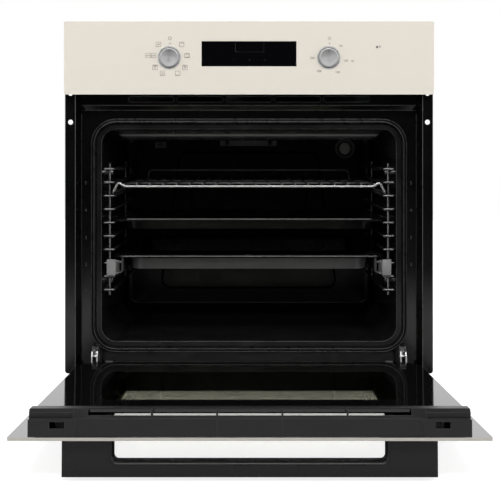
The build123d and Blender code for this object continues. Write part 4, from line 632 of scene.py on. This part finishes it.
# The folded edge of the ceiling that hides the grill element from the front
ROOF_Z, FOLD_HALF_X, FOLD_FADE, FOLD_DROP = 0.4227, 0.232, 0.030, 0.0170
FOLD_Y, FOLD_RUN, FOLD_BACK_Y = -0.2475, 0.0175, -0.230
ROOF_CORNER_X, ROOF_CORNER_Z, ROOF_CORNER_R, ROOF_AIR = 0.2178, 0.3982, 0.025, 0.0005
FOLD_COLUMNS, FOLD_STEPS = 60, 10
made = bmesh.new()
rows = []
for i in range(FOLD_COLUMNS + 1):
    x = -FOLD_HALF_X + 2 * FOLD_HALF_X * i / FOLD_COLUMNS
    roof = ROOF_Z
    if abs(x) > ROOF_CORNER_X:
        roof = ROOF_CORNER_Z + sqrt(ROOF_CORNER_R ** 2 - (abs(x) - ROOF_CORNER_X) ** 2) - ROOF_AIR
    fade = max(0.0, min(1.0, (FOLD_HALF_X - abs(x)) / FOLD_FADE))
    fade = fade * fade * (3 - 2 * fade)
    row = []
    for t in range(FOLD_STEPS + 1):
        drop = (1 - cos(pi * t / FOLD_STEPS)) / 2 * FOLD_DROP * fade
        row.append(made.verts.new((x, FOLD_Y + FOLD_RUN * t / FOLD_STEPS, min(roof, ROOF_Z - drop))))
    for back, up in ((0.0010, 0.0), (0.0022, 0.0010), (0.0026, 0.0035)):
        height = min(roof, ROOF_Z - FOLD_DROP * fade + up * fade)
        row.append(made.verts.new((x, FOLD_BACK_Y + back, height)))
    rows.append(row)
for a, b in zip(rows, rows[1:]):
    for i in range(len(a) - 1):
        made.faces.new((a[i], a[i + 1], b[i + 1], b[i]))
fold = put("ceiling_fold", smooth_mesh("ceiling_fold", made), "oven", enamel_fold)
sheet = fold.modifiers.new("sheet", "SOLIDIFY")
sheet.thickness = 0.0008
sheet.offset = 0.0


# Knobs: turned body with a spun face, on their own centres
def lathe(name, profile, place, body, mat, replaced=None, segments=96):
    """A piece turned round the Y axis: profile is (radius, y)."""
    made = bmesh.new()
    rings = []
    for radius, y in profile:
        turns = [2 * pi * i / segments for i in range(segments)] if radius else [0.0]
        rings.append([made.verts.new((radius * sin(a), y, radius * cos(a))) for a in turns])
    for a, b in zip(rings, rings[1:]):
        for i in range(segments):
            j = (i + 1) % segments
            if len(a) == 1:
                made.faces.new((a[0], b[i], b[j]))
            elif len(b) == 1:
                made.faces.new((a[i], b[0], a[j]))
            else:
                made.faces.new((a[i], b[i], b[j], a[j]))
    piece = put(name, smooth_mesh(name, made), body, mat, replaced, place)
    sharp = piece.modifiers.new("sharp", "EDGE_SPLIT")
    sharp.split_angle = radians(28)


KNOB_X, KNOB_Y, KNOB_Z = 0.128, FRONT_Y - 0.004, 0.595 - 0.0583
KNOB_PROFILE = [
    (0.0, 0.00055), (0.0128, 0.00030), (0.0138, 0.00010), (0.0150, 0.00040), (0.0158, 0.00110),
    (0.0160, 0.00200), (0.0160, 0.0240), (0.0060, 0.0240), (0.0060, 0.0438), (0.0031, 0.0438),
    (0.0031, 0.0100), (0.0, 0.0100),
]
DOT_PROFILE = [(0.0, 0.0), (0.00085, 0.00005), (0.0009, 0.0004)]
DOT_OUT = 0.0105
for side, body in ((-1, "function_knob"), (1, "temperature_knob")):
    x = side * KNOB_X
    lathe(body + "_metal", KNOB_PROFILE, (x, KNOB_Y, KNOB_Z), body, knob_metal, body)
    lathe(body + "_dot", DOT_PROFILE, (x, KNOB_Y + 0.00005, KNOB_Z + DOT_OUT), body, led_dark,
          segments=20)

# Prints on the panel and the frame
PRINT_Y = FRONT_Y - 0.00005
LINE_R, DOT_R, DISPLAY_LINE_R = 0.00027, 0.0005, 0.00018


def words(name, text, x, y, z, size, mat, depth):
    """Flat lettering that faces the user."""
    data = bpy.data.curves.new(name, "FONT")
    data.body = text
    data.size = size
    data.align_x = "CENTER"
    data.align_y = "CENTER"
    data.extrude = depth
    return put(name, data, "oven", mat, place=(x, y, z), turn=(radians(90), 0, 0))


def strokes(name, lines, mat, thick):
    """Thin printed lines on the panel as one piece: each line is a list of (x, z)."""
    lines = [([(x, PRINT_Y, z) for x, z in line], 1.0) for line in lines]
    return put(name, tubes(name, lines, thick, 1), "oven", mat)


def panel_xz(px, py):
    """A point on the panel's face from its place in the photograph."""
    return photo_xz(px, py, EYE_TO_FRONT)


def square(x, z, half):
    """A closed square as one line."""
    return [(x - half, z - half), (x + half, z - half), (x + half, z + half), (x - half, z + half),
            (x - half, z - half)]


def circle(x, z, r, n=12):
    """A closed circle as one line."""
    return [(x + r * sin(2 * pi * i / n), z + r * cos(2 * pi * i / n)) for i in range(n + 1)]


def wave(x, z, w):
    """A zigzag line for a grill."""
    return [(x - w + 2 * w * i / 6, z + (0.0007 if i % 2 else -0.0007)) for i in range(7)]


def bar(x, z, half):
    """A level line."""
    return [(x - half, z), (x + half, z)]


def upright(x, z, half):
    """An upright line."""
    return [(x, z + half), (x, z - half)]


# Round the function knob: a ring for off, and squares with a grill, a fan, or heat from above or below
BOX, BAR = 0.0037, 0.0026
icons = []
PLACES = [(169.9, 38.3), (181.6, 44.4), (187.1, 55.5), (184.9, 67.4), (177.6, 73.4), (162.5, 73.4),
          (155.0, 67.4), (158.4, 44.4)]
for i, (px, py) in enumerate(PLACES):
    x, z = panel_xz(px, py)
    if i == 0:
        icons.append(circle(x, z, 0.0024))
        continue
    icons.append(square(x, z, BOX))
    if i in (1, 2, 3):
        icons.append(wave(x, z + 0.0022, BAR))
    if i in (2, 4, 5):
        icons.append(bar(x, z - BAR, BAR))
    if i in (3, 5, 6, 7):
        icons.append(circle(x, z, 0.0012, 8))
    if i == 6:
        icons.append(bar(x, z + BAR, BAR))
for px in (148.0, 153.6):
    x, z = panel_xz(px, 55.5)
    icons += [square(x, z, BOX), wave(x, z, 0.0024)]
# Beside the temperature knob
x, z = panel_xz(329.5, 38.3)
icons.append(circle(x, z, 0.0022))
x, z = panel_xz(352.5, 61.0)
icons += [wave(x, z + 0.001, 0.002), bar(x, z - 0.001, 0.002)]
x, z = panel_xz(380.2, 46.6)
icons.append(upright(x - 0.001, z, 0.0018))
icons.append([(x + 0.0006, z + 0.0018), (x - 0.0006, z), (x + 0.0006, z - 0.0018)])
strokes("panel_icons", icons, print_ink, LINE_R)
for i, px in enumerate((169.9, 329.4)):
    strokes("scale_dot_%d" % i, [circle(*panel_xz(px, 43.4), 0.0004, 8)], led_dark, DOT_R)
for text, px, py in (("50", 340.8, 46.0), ("100", 345.8, 60.8), ("150", 337.6, 72.3), ("200", 319.2, 71.2),
                     ("250", 312.4, 58.2)):
    x, z = panel_xz(px, py)
    words("scale_" + text, text, x, PRINT_Y, z, 0.0050, print_ink, 0.00003)

# In the display: a frame, and below it a minus and two plus signs
x0, z0 = panel_xz(235.5, 52.0)
x1, z1 = panel_xz(263.8, 41.5)
MARK = 0.0015
marks = [[(x0, z0), (x1, z0), (x1, z1), (x0, z1), (x0, z0)]]
for px, plus in ((234.0, False), (249.7, True), (265.0, True)):
    x, z = panel_xz(px, 60.0)
    marks.append(bar(x, z, MARK))
    if plus:
        marks.append([(x, z - MARK), (x, z + MARK)])
strokes("display_marks", marks, print_pale, DISPLAY_LINE_R)

for i, py in enumerate((290.5, 264.5, 237.7, 210.3, 183.0)):
    for (_, word), px in zip(SIDES, (86.0, 411.0)):
        x, z = photo_xz(px, py, EYE_TO_FACE)
        words("level_%d_%s" % (i + 1, word), str(i + 1), x, FACE_Y - 0.0001, z, 0.0075, frame_print,
              0.00005)


# The studio
def seen_rays(tree):
    """Sockets that are 1 for what the camera sees, directly or through glass, and for only the latter."""
    path = tree.nodes.new("ShaderNodeLightPath").outputs
    through = path["Is Transmission Ray"]
    return calc(tree, "MAXIMUM", path["Is Camera Ray"], through), through


def map_range(tree, value, start, end, low, high):
    """A value that goes from low at the start to high at the end, and stays level beyond them."""
    limits = {"From Min": start, "From Max": end, "To Min": low, "To Max": high}
    made = node(tree, "ShaderNodeMapRange", **limits)
    tree.links.new(value, made.inputs["Value"])
    return made.outputs["Result"]


# The floor, as lamps and gloss meet it: a pale sheet that darkens forwards, with a painted shadow under oven
# and door
FLOOR_Z = -0.018
floor, tree, shader = material("stage_floor")
shader.inputs["Roughness"].default_value = 0.9
shader.inputs["Specular IOR Level"].default_value = 0.0
place = axes(tree)
pale = ramp(tree, calc(tree, "ADD", place["Y"], 2.2), [(0.3, grey(0.05)), (0.95, grey(0.8))])
across, along = within(tree, place["X"], -0.34, 0.34), within(tree, place["Y"], -0.72, 0.30)
# Painted shadow: the floor's colour goes dark under the oven and the door
painted_shadow_under_oven = calc(tree, "MULTIPLY", across, along)
tree.links.new(blend(tree, painted_shadow_under_oven, pale, grey(0.02)), shader.inputs["Base Color"])
# As the camera sees it: white with the oven's shadow; through glass a painted shadow darkens it under the
# door
seen, through = seen_rays(tree)
from_middle = node(tree, "ShaderNodeVectorMath", operation="DISTANCE")
tree.links.new(tree.nodes.new("ShaderNodeTexCoord").outputs["Object"], from_middle.inputs[0])
from_middle.inputs[1].default_value = (0.0, -0.2, FLOOR_Z)
level = node(tree, "ShaderNodeMix", data_type="FLOAT")
tree.links.new(through, level.inputs["Factor"])
tree.links.new(map_range(tree, from_middle.outputs["Value"], 0.55, 1.4, 0.80, 1.0), level.inputs[MIX_LOW])
# Through glass, a painted shadow dims the floor's glow under the door
tree.links.new(map_range(tree, place["Y"], -0.50, -0.39, 0.10, 1.0), level.inputs[MIX_HIGH])
glow = node(tree, "ShaderNodeEmission", Color=(1, 1, 1, 1))
tree.links.new(level.outputs[0], glow.inputs["Strength"])
matt = tree.nodes.new("ShaderNodeBsdfDiffuse")
tree.links.new(blend(tree, through, grey(0.4), grey(0)), matt.inputs["Color"])
lit = tree.nodes.new("ShaderNodeAddShader")
tree.links.new(glow.outputs[0], lit.inputs[0])
tree.links.new(matt.outputs[0], lit.inputs[1])
show_mix(tree, seen, shader, lit)

data = bpy.data.meshes.new("stage_floor")
data.from_pydata([(-6, -5, FLOOR_Z), (6, -5, FLOOR_Z), (6, 4, FLOOR_Z), (-6, 4, FLOOR_Z)], [], [(0, 1, 2, 3)])
data.materials.append(floor)
piece = bpy.data.objects.new("stage_floor", data)
bpy.context.scene.collection.objects.link(piece)

# The world: white to the camera and through glass; for light and gloss a pale wall behind the oven, and in
# front of it a dark room with a white card across
ROOM, CARD, WALL = grey(0.02), grey(1.0), grey(1.19)
world = bpy.data.worlds.new("studio")
bpy.context.scene.world = world
world.use_nodes = True
tree = world.node_tree
aim = axes(tree, "Generated")
behind = ramp(tree, calc(tree, "ADD", aim["Y"], 0.05), [(0.0, grey(0.0)), (0.30, grey(1.0))])
ahead = ramp(tree, aim["Z"], [(0.16, ROOM), (0.26, CARD), (0.46, CARD), (0.58, ROOM)])
sky = tree.nodes["Background"]
sky.inputs["Strength"].default_value = 1.0
tree.links.new(blend(tree, behind, ahead, WALL), sky.inputs["Color"])
white = node(tree, "ShaderNodeBackground", Color=(1, 1, 1, 1), Strength=1.0)
show_mix(tree, seen_rays(tree)[0], sky, white, "World Output")


def lamp(name, place, aim, size, power):
    """A soft rectangular lamp."""
    data = bpy.data.lights.new(name, "AREA")
    data.shape = "RECTANGLE"
    data.size, data.size_y = size
    data.energy = power
    piece = bpy.data.objects.new(name, data)
    piece.location = place
    piece.rotation_euler = (Vector(aim) - Vector(place)).to_track_quat("-Z", "Y").to_euler()
    bpy.context.scene.collection.objects.link(piece)


SIDE_POWER = 22
lamp("key", (0.0, -2.392, 2.148), (0, -0.45, 0.15), (2.2, 0.58), 52)
lamp("side_left", (-2.6, -1.2, 1.0), (0, -0.2, 0.35), (1.2, 1.8), SIDE_POWER)
lamp("side_right", (2.6, -1.2, 1.0), (0, -0.2, 0.35), (1.2, 1.8), SIDE_POWER)
lamp("back_top", (0.0, 1.8, 2.2), (0, 0.0, 0.5), (2.0, 1.0), 16)

SENSOR_MM = 36.0
camera = bpy.data.cameras.new("camera")
camera.sensor_width = SENSOR_MM
camera.lens = FOCAL_PX / IMAGE_PX * SENSOR_MM
camera.shift_x = (IMAGE_PX / 2 - MIDDLE_PX_X) / IMAGE_PX
camera.shift_y = (MIDDLE_PX_Y - IMAGE_PX / 2) / IMAGE_PX
eye = bpy.data.objects.new("camera", camera)
eye.location = (EYE_X, FRONT_Y - EYE_TO_FRONT / 1000, EYE_Z)
eye.rotation_euler = (radians(90), 0, 0)
bpy.context.scene.collection.objects.link(eye)
bpy.context.scene.camera = eye
bpy.context.scene.view_settings.view_transform = "Standard"
